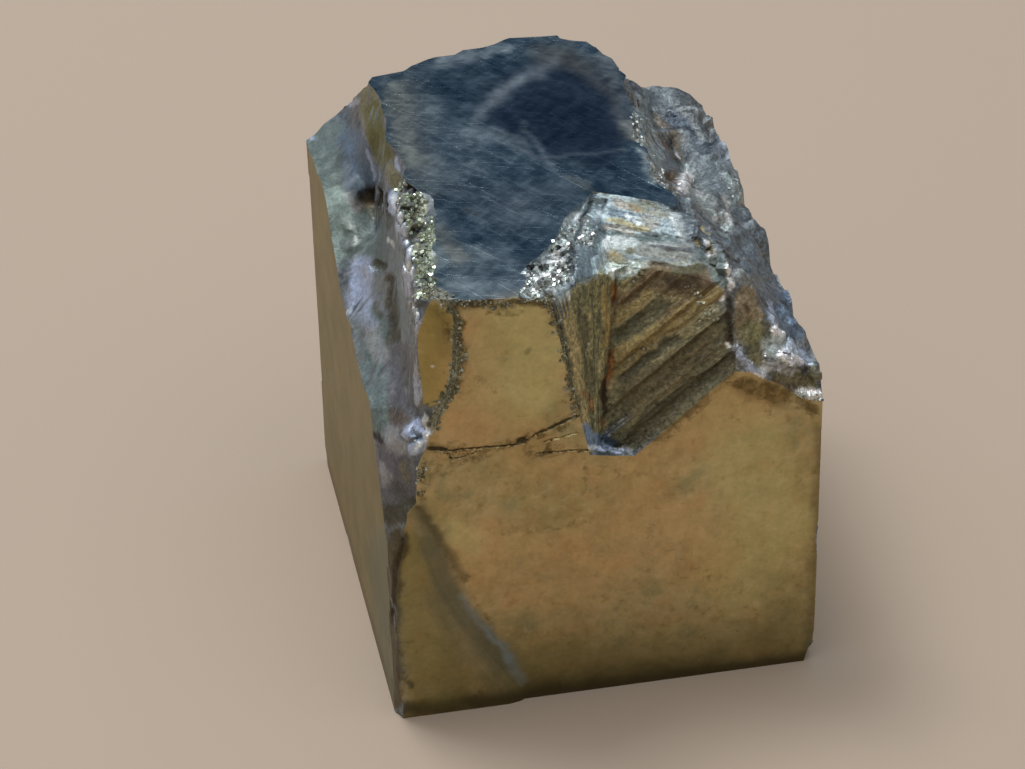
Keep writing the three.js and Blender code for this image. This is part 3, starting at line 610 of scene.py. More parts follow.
    ("sky", 9, 5, 0.8, [(778, 346), (790, 356), (802, 366)]),
    ("paintedGlint", 4.6, 3, 1, [(784, 352), (790, 358), (797, 363)]),
    ("lavenderReflection", 2, 3, 0.8, [(792, 342), (804, 352), (806, 362)]),
    ("blue", 8, 8, 0.8, [(782, 300), (794, 326)]),
    ("greyGreenShade", 9, 6, 0.95, [(780, 372), (796, 376), (812, 374)]),
    ("sootAndShade", 3, 3, 0.7, [(806, 372), (812, 380)]),
    ("bark", 8, 5, 0.7, [(784, 384), (800, 388)]),
    ("paintedGlint", 4.5, 3, 1, [(804, 396), (812, 394), (819, 398)]),
    ("glitter", 5, 3, 0.8, [(800, 400), (816, 402)]),
    # The imprint's walls: stripes and rust, with painted shade in the grooves and under the shelf's lip, and
    # a painted reflection of the sky on the sill
    ("bark", 12, 6, 0.8, [(655, 278), (680, 283), (700, 284)]),
    ("sootAndShade", 4, 5, 0.7, [(668, 280), (684, 286), (696, 280)]),
    ("sand", 3.5, 3, 0.9, [(618, 320), (632, 308), (650, 295)]),
    ("bark", 4, 4, 0.85, [(617, 304), (628, 296), (642, 284)]),
    ("greyGreenShade", 4, 6, 0.85, wallGroove),
    ("sand", 5.5, 4, 0.9, [(617, 356), (645, 338), (671, 322), (700, 300), (716, 292)]),
    ("bark", 3, 4, 0.6, [(660, 318), (690, 296), (710, 284)]),
    ("sand", 3.5, 4, 0.75, [(618, 373), (634, 361), (648, 350)]),
    ("greyGreenShade", 3.6, 4.5, 1, [(622, 379), (646, 361), (666, 342), (676, 340)]),
    ("bark", 9, 6, 0.55, [(628, 395), (665, 372), (705, 346)]),
    ("sand", 3, 5, 0.5, [(632, 412), (660, 394), (690, 372)]),
    ("greyGreenShade", 8, 4.5, 1, [(632, 440), (656, 422), (684, 396), (727, 362)]),
    ("greyGreenShade", 4, 6, 0.7, [(620, 436), (640, 440)]),
    ("moor", 26, 24, 0.46, [(655, 400), (690, 372), (715, 345)]),
    ("sootAndShade", 1.8, 3, 0.8, [(727, 292), (729, 320), (730, 342)]),
    ("paintedGlint", 1.3, 1.3, 0.85, [(727, 344), (729, 345)]),
    ("cream", 0.8, 1.4, 0.42, [(700, 316), (708, 311), (718, 307)]),
    ("greyGreenShade", 3, 4.5, 0.95, [(549, 301), (557, 325), (564, 352), (571, 392), (577, 416)]),
    ("greyGreenShade", 2.2, 4.5, 0.8, [(582, 318), (585, 350), (590, 384)]),
    ("sand", 2, 3, 0.7, [(604, 286), (606, 320), (604, 345)]),
    ("cream", 0.7, 1.2, 0.48, [(588, 344), (587, 356)]),
    ("paintedGlint", 0.6, 1, 0.59, [(568, 296), (569, 300)]),
    ("rust", 2.2, 2, 0.75, [(616, 286), (615, 300)]),
    ("rust", 2.4, 2, 0.75, [(611, 352), (610, 372), (608, 384)]),
    ("orange", 1, 1.6, 0.36, [(612, 360), (610, 378)]),
    ("sootAndShade", 1.4, 2, 0.9, [(606, 380), (605, 396), (604, 412)]),
    ("rust", 2, 3, 0.5, [(592, 396), (591, 408)]),
    ("orange", 1, 2, 0.15, [(592, 400), (591, 407)]),
    ("rust", 1.8, 2, 0.52, [(584, 392), (585, 395)]),
    ("rust", 1.8, 2, 0.52, [(600, 420), (601, 424)]),
    ("blue", 6, 3, 1, [(586, 432), (590, 440), (606, 442)]),
    ("darkReflectionAndShade", 2.4, 3, 0.8, [(604, 438), (614, 442)]),
    ("lavenderReflection", 1.2, 1.6, 1, [(588, 447), (600, 450), (620, 451)]),
    # Again the band
    ("sootAndShade", 6, 8, 0.33, [(344, 164), (348, 184)]),
    ("lilac", 4, 5, 0.6, [(350, 197), (356, 205)]),
    ("teal", 5, 6, 0.6, bandUpper),
    ("sootAndShade", 5, 6, 0.2, bandUpper),
    ("teal", 4, 5, 0.6, bandLower),
    ("sootAndShade", 4, 5, 0.2, bandLower),
    ("lavenderReflection", 6, 7, 0.65, [(357, 300), (366, 322)]),
    ("lilac", 5, 7, 0.5, [(371, 334), (380, 356)]),
    ("lavenderReflection", 3.5, 3.5, 0.65, [(399, 226), (404, 240), (411, 257)]),
    ("hazeAndSheen", 4, 5, 0.6, [(396, 246), (397, 272), (399, 300), (405, 334)]),
    ("lilac", 5, 6, 0.6, [(391, 432), (398, 446)]),
    ("umber", 4, 8, 0.35, [(387, 510), (393, 532)]),
    # Again the corner
    ("stone", 6, 7, 0.5, [(685, 106), (695, 112), (704, 128)]),
    ("sootAndShade", 5, 6, 0.25, [(684, 176), (699, 186), (706, 196)]),
    ("sootAndShade", 5, 6, 0.2, [(734, 213), (738, 230)]),
    ("sky", 4, 6, 0.35, [(656, 196), (665, 204)]),
    ("khaki", 5, 5, 0.55, [(784, 374), (798, 379), (810, 381)]),
    ("lavenderReflection", 4, 5, 0.5, [(787, 350), (800, 361)]),
    ("slate", 7, 10, 0.75, [(692, 150), (697, 164), (704, 178)]),
    ("slate", 4, 5, 0.75, [(725, 148), (730, 166)]),
    ("greyGreenShade", 3, 4, 0.8, [(764, 326), (766, 334)]),
    ("lilac", 3, 5, 0.7, [(762, 368), (778, 366), (791, 368)]),
    # Again the imprint and the shelf
    ("greyGreenShade", 3.5, 3, 0.9, [(676, 269), (690, 271), (701, 271)]),
    ("khaki", 3, 4, 0.6, [(632, 204), (646, 206)]),
    ("stone", 4, 5, 0.5, [(650, 214), (668, 213)]),
]


def ownMesh():
    bm = bmesh.new()
    bm.from_mesh(node.data)
    bmesh.ops.remove_doubles(bm, verts=bm.verts, dist=1e-6)
    places = np.array([v.co for v in bm.verts]) / mm
    corners = np.array([[v.index for v in f.verts] for f in bm.faces])
    bm.free()
    return places, corners


shoulder = {
    "at": (5.2, 14.7, 33.0),
    "reach": (2.7, 2.9, 3.6),
    "strength": 1.2,  # over 1, so that the middle part moves as a whole
    "grows": (0.85, 0.95),  # to the right and to the back
}


def fillShoulder(places):
    # the right end of the top's back edge reaches a little further than the solid's, within the same planes
    away = np.linalg.norm((places - shoulder["at"]) / shoulder["reach"], axis=1)
    across, back = np.outer(shoulder["grows"], np.clip(shoulder["strength"] - away, 0, 1))
    backFace = np.maximum(backAt - backLean * (topAtBack - places[:, 2]), places[:, 1])
    places[:, 0] += across
    places[:, 1] = np.minimum(places[:, 1] + back, backFace)
    places[:, 2] += topLean[1] * back - topLean[0] * across


def normalsOf(places, corners):
    a, b, c = (places[corners[:, k]] for k in range(3))
    across = np.cross(b - a, c - a)
    return across / np.maximum(np.linalg.norm(across, axis=1), 1e-12)[:, None]


growthFaces = [  # area, outward direction, a place on it
    ("front", (0, -1, 0), (0, frontAt, 0)), ("front", (0, -1, 0), (0, frontMost, 0)),
    ("top", (topLean[0], -topLean[1], 0.998), (-rightAt, frontAt, 33.95)),
    ("side", (-1, 0, 0), (-rightAt, 0, 0)),
    *(("side", (1, 0, 0), (rightAt - step, 0, 0)) for step in rightSteps),
    ("side", (0, 1, -backLean), None), ("side", (0, 0, -1), (0, 0, 0)),
]
areas = ["front", "top", "side", "skinSlope", "facet", "wallRight", "wallLeft", "broken"]
finishOf = {"front": "brass", "side": "brass", "skinSlope": "brass", "facet": "brass", "top": "steel",
            "wallRight": "imprint", "wallLeft": "imprint", "broken": "break"}
grown = [areas.index(name) for name in areas if finishOf[name] in ("brass", "steel")]
firstBreak = areas.index("wallRight")  # the areas before it are growth faces

# Boxes that some areas lie in: least and most across, back and up
far = math.inf
boxes = {
    "skinSlope": ((-far, -far, -far), (-5.4, -16.6, 19.6)),
    "facet": ((-far, -far, 23), (-9.6, -15.7, far)),
    "imprint": ((-5, -far, 20.3), (9, -8, 31.9)),
    "shelf": ((-2, -far, 31.2), (8, far, far)),
}
imprintSill = 21.4  # faces below it that look up belong to the sill
wallsMeet = (-0.1, 21.8)  # across and up, where the imprint's two walls meet at the bottom
wallsLean = 0.218  # from there their edge leans to the right by this share of its height


def inBox(places, name):
    least, most = boxes[name]
    return ((places > least) & (places < most)).all(axis=1)


def sortFaces(places, corners):
    # the growth face, or the part of the breaks, that each face of the solid belongs to
    middle = places[corners].mean(axis=1)
    normal = normalsOf(places, corners)
    area = np.full(len(corners), areas.index("broken"))
    x, z = middle[:, 0], middle[:, 2]
    slope = inBox(middle, "skinSlope") & (normal[:, 1] < -0.5) & (normal[:, 0] > 0.01)
    area[slope] = areas.index("skinSlope")
    area[inBox(middle, "facet") & (normal[:, 1] < -0.95)] = areas.index("facet")
    imprint = inBox(middle, "imprint") & ((normal[:, 2] < 0.5) | (z > imprintSill))
    onRight = x > wallsMeet[0] + (z - wallsMeet[1]) * wallsLean
    area[imprint & onRight] = areas.index("wallRight")
    area[imprint & ~onRight] = areas.index("wallLeft")
    # the steps between growth terraces, first on the right and then on the back
    across, along, up = np.abs(normal.T)
    behind = places[:, 1] - backLean * places[:, 2]
    outside = (places[corners, 0] > rightAt - terraceDepth).all(axis=1)
    area[outside & (z < terraceTop) & (across < 0.01) & ((up > 0.99) | (along > 0.99))] = areas.index("side")
    outside = (behind[corners] > behind.max() - terraceDepth).all(axis=1)
    area[outside & (z < terraceTop) & ((up > 0.99) | (across > 0.99))] = areas.index("side")
    for name, out, point in growthFaces:
        out = np.array(out) / np.linalg.norm(out)
        found = normal @ out > 0.9996
        if point is not None:
            found &= np.abs((middle - point) @ out) < 0.03
        area[found] = areas.index(name)
    return area


def gapTo(places, line):
    # distance from each place to a line through several points
    best = np.full(len(places), np.inf)
    for start, end in zip(line[:-1], line[1:]):
        start, run = np.array(start), np.subtract(end, start)
        share = np.clip((places - start) @ run / max(run @ run, 1e-9), 0, 1)
        best = np.minimum(best, np.linalg.norm(places - start - share[:, None] * run, axis=1))
    return best


def nearLine(shown, line, margin):  # which places in the picture may be within the margin of a line
    x, y = shown.T
    (left, high), (right, low) = np.min(line, axis=0), np.max(line, axis=0)
    return np.where((x > left - margin) & (x < right + margin) & (y > high - margin) & (y < low + margin))[0]


def longestAllowed(areaA, areaB, middle, length, crease, facing):
    # how long each edge may be: by its areas, and less under brush strokes and cracks
    look = crystalLook
    allowed = {"front": look["faceEdge"], "top": look["faceEdge"], "side": look["sideEdge"],
               "skinSlope": look["slopeEdge"], "facet": look["facetEdge"],
               "wallRight": look["wallEdge"], "wallLeft": look["wallEdge"], "broken": look["breakEdge"]}
    byArea = np.array([allowed[name] for name in areas])
    limit = np.minimum(byArea[areaA], byArea[areaB])
    hidden = (middle[:, 1] > softFrom) | ~facing
    limit[hidden] = np.maximum(limit[hidden], look["hiddenEdge"])
    limit[crease & ~hidden] = np.minimum(limit[crease & ~hidden], look["wearEdge"])
    asked = np.where(facing & (limit > look["strokeEdge"]))[0]
    shown = np.asfortranarray(shownAt(middle[asked]))
    half = length[asked] / 2 / pixel
    onFace = np.minimum(areaA, areaB)[asked] < firstBreak
    painted = ((strokesOnFaces, onFace, look["faceShare"]), (strokesOnBreaks, ~onFace, look["breakShare"]))
    for strokes, there, share in painted:
        for finish, reach, soft, strength, line in strokes:
            near = nearLine(shown, line, half + reach + soft)
            near = near[there[near]]
            near = near[gapTo(shown[near], line) < half[near] + reach + 0.6 * soft]
            most = max(look["strokeEdge"], share * (reach + 0.5 * soft) * pixel,
                       look["faintEdge"] * (1 if finish == "dirt" else 1 - strength))
            limit[asked[near]] = np.minimum(limit[asked[near]], most)
    for reach, line in cracks:
        near = nearLine(shown, line, half + reach + 3)
        near = near[onFace[near]]
        gap = gapTo(shown[near], line) * pixel
        close = gap < length[asked[near]] / 2 + 0.2
        near, gap = near[close], gap[close]
        limit[asked[near]] = np.minimum(limit[asked[near]], np.maximum(look["crackEdge"], 1.1 * gap))
    onTop = (areaA == areaB) & (areaA == areas.index("top"))
    limit[onTop] = np.maximum(limit[onTop], look["topEdge"])
    return limit


def endsOf(corners):  # both ends of every side: all first sides, then the second and the third ones
    return np.concatenate([corners[:, [0, 1]], corners[:, [1, 2]], corners[:, [2, 0]]])


def cutFiner(places, corners, area):
    # halves the longest edge of every face that is too long, until none is
    done = np.zeros(len(corners), bool)
    while True:
        ends = np.sort(endsOf(corners), axis=1)
        keys, which = np.unique(ends[:, 0] * len(places) + ends[:, 1], return_inverse=True)
        edges = np.stack(np.divmod(keys, len(places)), axis=1)
        sides = which.reshape(3, -1).T
        count = len(corners)
        owner = np.full((len(edges), 2), -1)
        faceOf = np.tile(np.arange(count), 3)
        owner[which[::-1], 0] = faceOf[::-1]
        owner[which, 1] = faceOf
        first, second = owner.T
        middle = places[edges].mean(axis=1)
        length = np.linalg.norm(places[edges[:, 0]] - places[edges[:, 1]], axis=1)
        normal = normalsOf(places, corners)
        turn = (normal[first] * normal[second]).sum(axis=1)
        crease = (turn < 0.5) & (area[owner].max(axis=1) < firstBreak)
        toEye = np.array(eye) - middle
        facing = ((normal[first] * toEye).sum(axis=1) > 0) | ((normal[second] * toEye).sum(axis=1) > 0)
        tooLong = ~(done[first] & done[second])
        ask = np.where(tooLong)[0]
        limit = longestAllowed(area[first[ask]], area[second[ask]], middle[ask], length[ask], crease[ask],
                               facing[ask])
        tooLong[ask] = length[ask] > limit
        longestSide = length[sides].argmax(axis=1)
        longest = sides[np.arange(count), longestSide]
        cut = np.zeros(len(edges), bool)
        cut[longest[tooLong[sides].any(axis=1)]] = True
        while True:  # a face with a cut side is cut on its longest side too
            more = longest[cut[sides].any(axis=1)]
            if cut[more].all():
                break
            cut[more] = True
        if not cut.any():
            break
        added = np.full(len(edges), -1)
        added[cut] = len(places) + np.arange(cut.sum())
        places = np.concatenate([places, middle[cut]])
        order = (longestSide[:, None] + np.arange(3)) % 3
        a, b, c = np.take_along_axis(corners, order, 1).T
        ab, bc, ca = added[np.take_along_axis(sides, order, 1)].T
        whole = ab < 0
        parts, source = [np.stack([a, b, c], 1)[whole]], [np.where(whole)[0]]
        for triangle, mid, keepsFirst in (((a, ab, c), ca, True), ((ab, b, c), bc, False)):
            p, q, r = triangle
            split = ~whole & (mid >= 0)
            plain = ~whole & (mid < 0)
            halves = [(p, q, mid), (mid, q, r) if keepsFirst else (p, mid, r)]
            parts += [np.stack(triangle, 1)[plain]] + [np.stack(half, 1)[split] for half in halves]
            source += [np.where(plain)[0]] + [np.where(split)[0]] * 2
        source = np.concatenate(source)
        done = ~tooLong[sides].any(axis=1)[source] & whole[source]
        corners = np.concatenate(parts)
        area = area[source]
    return places, corners, area


places, corners = ownMesh()
fillShoulder(places)
area = sortFaces(places, corners)
places, corners, area = cutFiner(places, corners, area)
print("surface cut finer:", len(corners), "faces", {n: int((area == k).sum()) for k, n in enumerate(areas)})


def seenByCamera(places, corners):
    tree = BVHTree.FromPolygons(places.tolist(), corners.tolist())
    seen = np.zeros(len(places), bool)
    for k, place in enumerate(places):
        away = Vector(place) - eye
        hit = tree.ray_cast(eye, away)[3]
        seen[k] = hit is None or hit > away.length - 0.12
    return seen


def stirred(places, size, amount):
    # a little wandering for each place, so that painted borders aren't straight
    noise.seed_set(crystalLook["seed"])  # without it, noise_vector differs from run to run
    return amount * np.array([noise.noise_vector(Vector(place) / size) for place in places])


def brush(shown, reach, soft, line):
    share = np.zeros(len(shown))
    near = nearLine(shown, line, reach + soft)
    part = np.clip((reach + soft - gapTo(shown[near], line)) / soft, 0, 1)
    share[near] = part * part * (3 - 2 * part)
    return share


# The light that reaches the eye from a white surface there, so that a finish shows in its own colour
lightOn = {"front": (0.41, 0.34, 0.30), "top": (0.30, 0.33, 0.37), "breaks": (0.55, 0.57, 0.60),
           "band": (0.69, 0.72, 0.78), "shelf": (0.94, 0.92, 0.92)}


def paint(shown, seen, strokes, light):
    # the strokes one over another: their colour, how much they cover, roughness and glitter
    colour = np.zeros((len(shown), 3))
    cover, dull, glitter = np.zeros((3, len(shown)))
    for name, reach, soft, strength, line in strokes:
        tone, roughness, sparkle = tonesAndLight[name]
        share = strength * brush(shown, reach, soft, line) * seen
        there = share > 0
        if tone is None:
            glitter[there] = np.maximum(glitter[there], share[there])
            continue
        part = share[there, None]
        tone = np.minimum(screen(tone) / light[there], 1.0)
        colour[there] = colour[there] * (1 - part) + tone * part
        for layer, value in ((cover, 1.0), (dull, roughness), (glitter, sparkle)):
            layer[there] = layer[there] * (1 - share[there]) + value * share[there]
    return colour, cover, dull, glitter


seen = seenByCamera(places, corners)
shown = np.asfortranarray(shownAt(places + stirred(places, 0.45, 0.11) + stirred(places, 1.6, 0.3)))
touched = {name: np.zeros(len(places), bool) for name in areas}
for k, name in enumerate(areas):
    touched[name][corners[area == k].ravel()] = True
onGrowth = np.any([touched[areas[k]] for k in grown], axis=0)
faceLight = np.where(touched["top"][:, None], lightOn["top"], lightOn["front"])
breakLight = np.where(places[:, :1] < bandRight, lightOn["band"], lightOn["breaks"])
onShelf = inBox(places, "shelf")
breakLight[onShelf] = lightOn["shelf"]
faceTone, faceCover, _, faceGlitter = paint(shown, seen, strokesOnFaces, faceLight)
breakTone, breakCover, breakDull, breakGlitter = paint(shown, seen, strokesOnBreaks, breakLight)
print("finishes painted")

# Rims and ridges that small grains sit on: half the width, softness, how many, places
rims = [
    (2.4, 2, 1, facetRim),
    (1, 2, 0.8, [(455, 301), (480, 304), (520, 302), (549, 300)]),
    (2, 3, 0.9, [(424, 288), (436, 293), (448, 297)]),
    (1.4, 2, 1, [(550, 301), (557, 325), (564, 352), (571, 392), (577, 416)]),
    (1.5, 2, 0.5, [(690, 284), (704, 298), (716, 318)]), (1, 2, 0.5, [(630, 357), (650, 346)]),
    (1, 2, 0.55, [(633, 280), (638, 276)]), (1, 2, 0.55, [(700, 318), (716, 308)]),
    (1, 2, 0.5, [(640, 434), (648, 436)]), (1, 2, 0.5, [(586, 345), (588, 356)]),
    (0.6, 2, 0.7, [(424, 466), (423, 480), (420, 496)]),
]

# Raised and sunken places on the breaks: height in mm, half the width, softness, places
reliefStrokes = [
    (0.1, 2, 5, [(401, 226), (406, 240), (411, 252), (406, 272)]),
    (-0.3, 4, 7, [(366, 198), (376, 196), (381, 206)]),
    (0.06, 2, 4, [(345, 224), (355, 227)]), (-0.08, 1.5, 3, [(345, 234), (354, 232)]),
    (0.06, 2, 4, [(345, 243), (357, 240)]), (-0.08, 1.5, 3, [(347, 251), (359, 248)]),
    (0.06, 2, 4, [(349, 259), (362, 253)]),
    (-0.25, 2, 4, bandPit), (-0.2, 3, 4, [(391, 282), (393, 300), (393, 340)]),
    (0.15, 2, 2.5, [(411, 300), (418, 325), (421, 350), (419, 385), (418, 404)]),
    (-0.35, 2.5, 2.5, [(402, 189), (412, 187)]), (-0.3, 2, 2.5, bandStep),
    (0.14, 4, 4, bandTip),
    (-0.2, 3, 2, tipPit),
    (-0.3, 2.2, 2.4, [(532, 266), (541, 268)]),
    (-0.12, 1.2, 1.6, shelfEdge),
    (-0.1, 1.2, 1.4, [(601, 230), (626, 237), (660, 237)]),
    (0.1, 1.5, 1.5, [(611, 258), (644, 264), (688, 261)]),
    (-0.3, 6, 9, cornerHollow),
    (0.3, 4, 4, [(686, 182), (690, 180)]), (-0.3, 3, 4, [(672, 178), (672, 190)]),
    (0.3, 4, 3, [(784, 354), (797, 363)]), (0.2, 3, 3, [(774, 333), (780, 337)]),
    (0.25, 3.5, 3, [(804, 397), (819, 397)]),
    (0.2, 2.5, 2.5, cornerFoot),
    (-0.1, 3, 3, [(622, 379), (646, 361), (676, 340)]), (-0.1, 3, 3, wallGroove),
    (0.1, 4, 3, [(615, 357), (671, 322), (716, 292)]), (-0.14, 6, 4, [(632, 440), (684, 396), (727, 362)]),
    (-0.1, 2.5, 2, [(549, 301), (564, 352), (577, 416)]),
]


def reliefWeights(loose, wall):
    # how strongly each kind of relief shows at each place
    corner = loose * np.clip((places[:, 0] - cornerLeft) / 2, 0, 1)
    lift = np.zeros(len(places))
    for height, reach, soft, line in reliefStrokes:
        lift += height * brush(shown, reach, soft, line) * seen
    rim = np.zeros(len(places))
    for reach, soft, strength, line in rims:
        rim = np.maximum(rim, strength * brush(shown, reach, soft, line) * seen)
    return {
        "lift": lift * np.maximum(loose, wall),
        "jagged": loose * (0.05 + 0.2 * corner + 0.6 * breakGlitter) + wall * 0.1,
        "swell": loose * (0.35 + 0.65 * corner),
        "lumps": corner,
        "crust": np.maximum(loose * breakGlitter, rim),
        "rim": rim,
    }


def carveCracks(places):
    # the cracks are real grooves in the front face
    wandering = shownAt(places + stirred(places, 0.35, 0.06))
    depth = np.zeros(len(places))
    for reach, line in cracks:
        near = nearLine(wandering, line, 2 * reach + 2)
        gap = gapTo(wandering[near], line)
        depth[near] = np.maximum(depth[near], np.clip(1.5 - gap / reach, 0, 1) * min(1, 0.4 + 0.3 * reach))
    depth[np.abs(places[:, 1] - frontAt) > 0.02] = 0
    places[:, 1] += crystalLook["crackDepth"] * depth
    return depth


lowCorner = {  # the front's lower right corner: heights, with what is added there and where the solid ends
    "fillUp": [0, 1.14, 1.79, 2.8, 4.1],
    "fill": [0.42, 0.38, 0.08, 0.2, 0.21],
    "edgeUp": [0, 1.79, 4.1],
    "edge": [13.88, 14.78, 14.78],
    "from": 12.8,
    "terrace": 14.9,  # what lies further to the right stays
    "back": -14.3,
}


def fillCorner(places):
    # the lowest terrace runs out before it reaches the front, and the corner under it is rounded
    look = lowCorner
    x, y, z = places.T
    more = np.interp(z, look["fillUp"], look["fill"])
    edge = np.interp(z, look["edgeUp"], look["edge"])
    share = np.clip((x - look["from"]) / (edge - look["from"]), 0, 1) * np.clip((look["back"] - y) / 2, 0, 1)
    low = z < look["fillUp"][-1] + 0.01
    places[:, 0] += np.where(low & (x < look["terrace"]), more * share, 0)


def wearEdges(places, corners):
    # the cube's own edges are chipped a little here and there
    normal = normalsOf(places, corners)
    total = np.zeros((len(places), 3))
    spread = np.zeros(len(places))
    onFaces = np.isin(area, grown)
    for side in range(3):
        np.add.at(total, corners[onFaces, side], normal[onFaces])
        np.add.at(spread, corners[onFaces, side], 1.0)
    tilt = np.linalg.norm(total, axis=1) / np.maximum(spread, 1)
    worn = onGrowth & (spread > 0) & (tilt < 0.93) & (places[:, 2] > 0.05)
    worn[np.any([touched[name] for name in ("broken", "wallRight", "wallLeft")], axis=0)] = False
    for k in np.where(worn)[0]:
        nick = noise.noise(Vector(places[k]) / 0.9) + 0.6 * noise.noise(Vector(places[k]) / 0.35)
        out = total[k] / np.linalg.norm(total[k])
        places[k] -= out * crystalLook["wearDepth"] * max(0.1, nick)


def softened(places, corners, share, rounds):
    # the breaks' flat cuts are rounded off: each place moves towards the middle of its neighbours
    start, end = endsOf(corners).T
    count = np.maximum(np.bincount(start, minlength=len(places)), 1)
    for _ in range(rounds):
        middle = [np.bincount(start, places[end, axis], len(places)) / count for axis in range(3)]
        places = places + (np.stack(middle, axis=1) - places) * share[:, None]
    return places


loose = (touched["broken"] & ~onGrowth).astype(float)
wall = ((touched["wallRight"] | touched["wallLeft"]) & ~onGrowth).astype(float)
weights = reliefWeights(loose, wall)
places = softened(places, corners, loose * np.where(onShelf, 0.25, 0.5), crystalLook["softRounds"])
weights["crack"] = carveCracks(places)
fillCorner(places)
wearEdges(places, corners)
weights.update({"faceCover": faceCover, "faceGlitter": faceGlitter, "breakCover": breakCover,
                "breakDull": breakDull, "breakGlitter": breakGlitter})


def keep(mesh, name, values, kind="FLOAT", domain="POINT"):  # an attribute of the mesh, for its nodes
    slot = "vector" if kind == "FLOAT_VECTOR" else "value"
    plain = {"INT": np.int32, "BOOLEAN": bool}.get(kind, np.float32)
    mesh.attributes.new(name, kind, domain).data.foreach_set(slot, values.astype(plain).ravel())


mesh = bpy.data.meshes.new("pyrite_cube")
mesh.from_pydata(places * mm, [], corners.tolist())
for name, values in weights.items():
    keep(mesh, name, values)
for name, tone in (("faceTone", faceTone), ("breakTone", breakTone)):
    keep(mesh, name, tone, "FLOAT_VECTOR")
keep(mesh, "area", area, "INT", "FACE")
keep(mesh, "leftWall", area == areas.index("wallLeft"), "FLOAT", "FACE")
for finish in ("brass", "steel", "imprint"):
    on = np.isin(area, [k for k, name in enumerate(areas) if finishOf[name] == finish])
    keep(mesh, finish + "Faces", on, "BOOLEAN", "FACE")
crystal = placed("pyrite_cube", mesh)


class Stone(Graph):  # what the crystal's materials share
    def __init__(self, tree):
        super().__init__(tree)
        self.at = self.vectors("SCALE", self.add("ShaderNodeTexCoord", {}, {}, "Object"), 1 / mm)
        self.x, self.y, self.z = self.split("ShaderNodeSeparateXYZ", self.at)

    def cells(self, scale):  # the gap to the cell's middle, its colour and its place
        made = self.add("ShaderNodeTexVoronoi", {}, {"Vector": self.at, "Scale": scale}).socket.node.outputs
        return Wire(self, made["Distance"]), Wire(self, made["Color"]), Wire(self, made["Position"])

    def facets(self, scale):  # every cell is a flat facet with its own tilt: a height, and a chance for each
        _, colour, middle = self.cells(scale)
        tilt = self.vectors("SUBTRACT", colour, (0.5, 0.5, 0.5))
        height = self.dot(self.vectors("SUBTRACT", self.at, middle), tilt)
        return height, self.split("ShaderNodeSeparateColor", colour)[1]

    def shifted(self, by):  # the place to look a cloud up at, so that it differs from the others
        return self.vectors("ADD", self.at, by)

    def turned(self, angle, stretch):
        turn = {"Vector": self.at, "Angle": angle}
        spun = self.add("ShaderNodeVectorRotate", {"rotation_type": "Z_AXIS"}, turn)
        return self.vectors("MULTIPLY", spun, stretch)

    def hairlines(self, place, scale, width):  # thin wandering lines, where a cloud crosses its middle value
        level = self.maths("ABSOLUTE", self.cloud(place, scale, 2, 0.5) - 0.5)
        return self.step(level, width, 0.0)

    def coated(self, base, layer):  # the brush strokes of a layer over the surface's own colour
        tone = self.add("ShaderNodeAttribute", {"attribute_name": layer + "Tone"}, {}, "Color")
        bare = self.vectors("SCALE", base, 1 - self.painted(layer + "Cover"))
        return self.vectors("ADD", bare, tone)

    def surface(self, colour, metal, rough, height, sheen=(1, 1, 1)):
        normal = self.add("ShaderNodeBump", {}, {"Strength": 1.0, "Distance": mm, "Height": height})
        shader = self.add("ShaderNodeBsdfPrincipled", {}, {
            "Base Color": colour, "Metallic": metal, "Roughness": rough, "Normal": normal,
            "Specular Tint": sheen})
        self.add("ShaderNodeOutputMaterial", {}, {"Surface": shader})


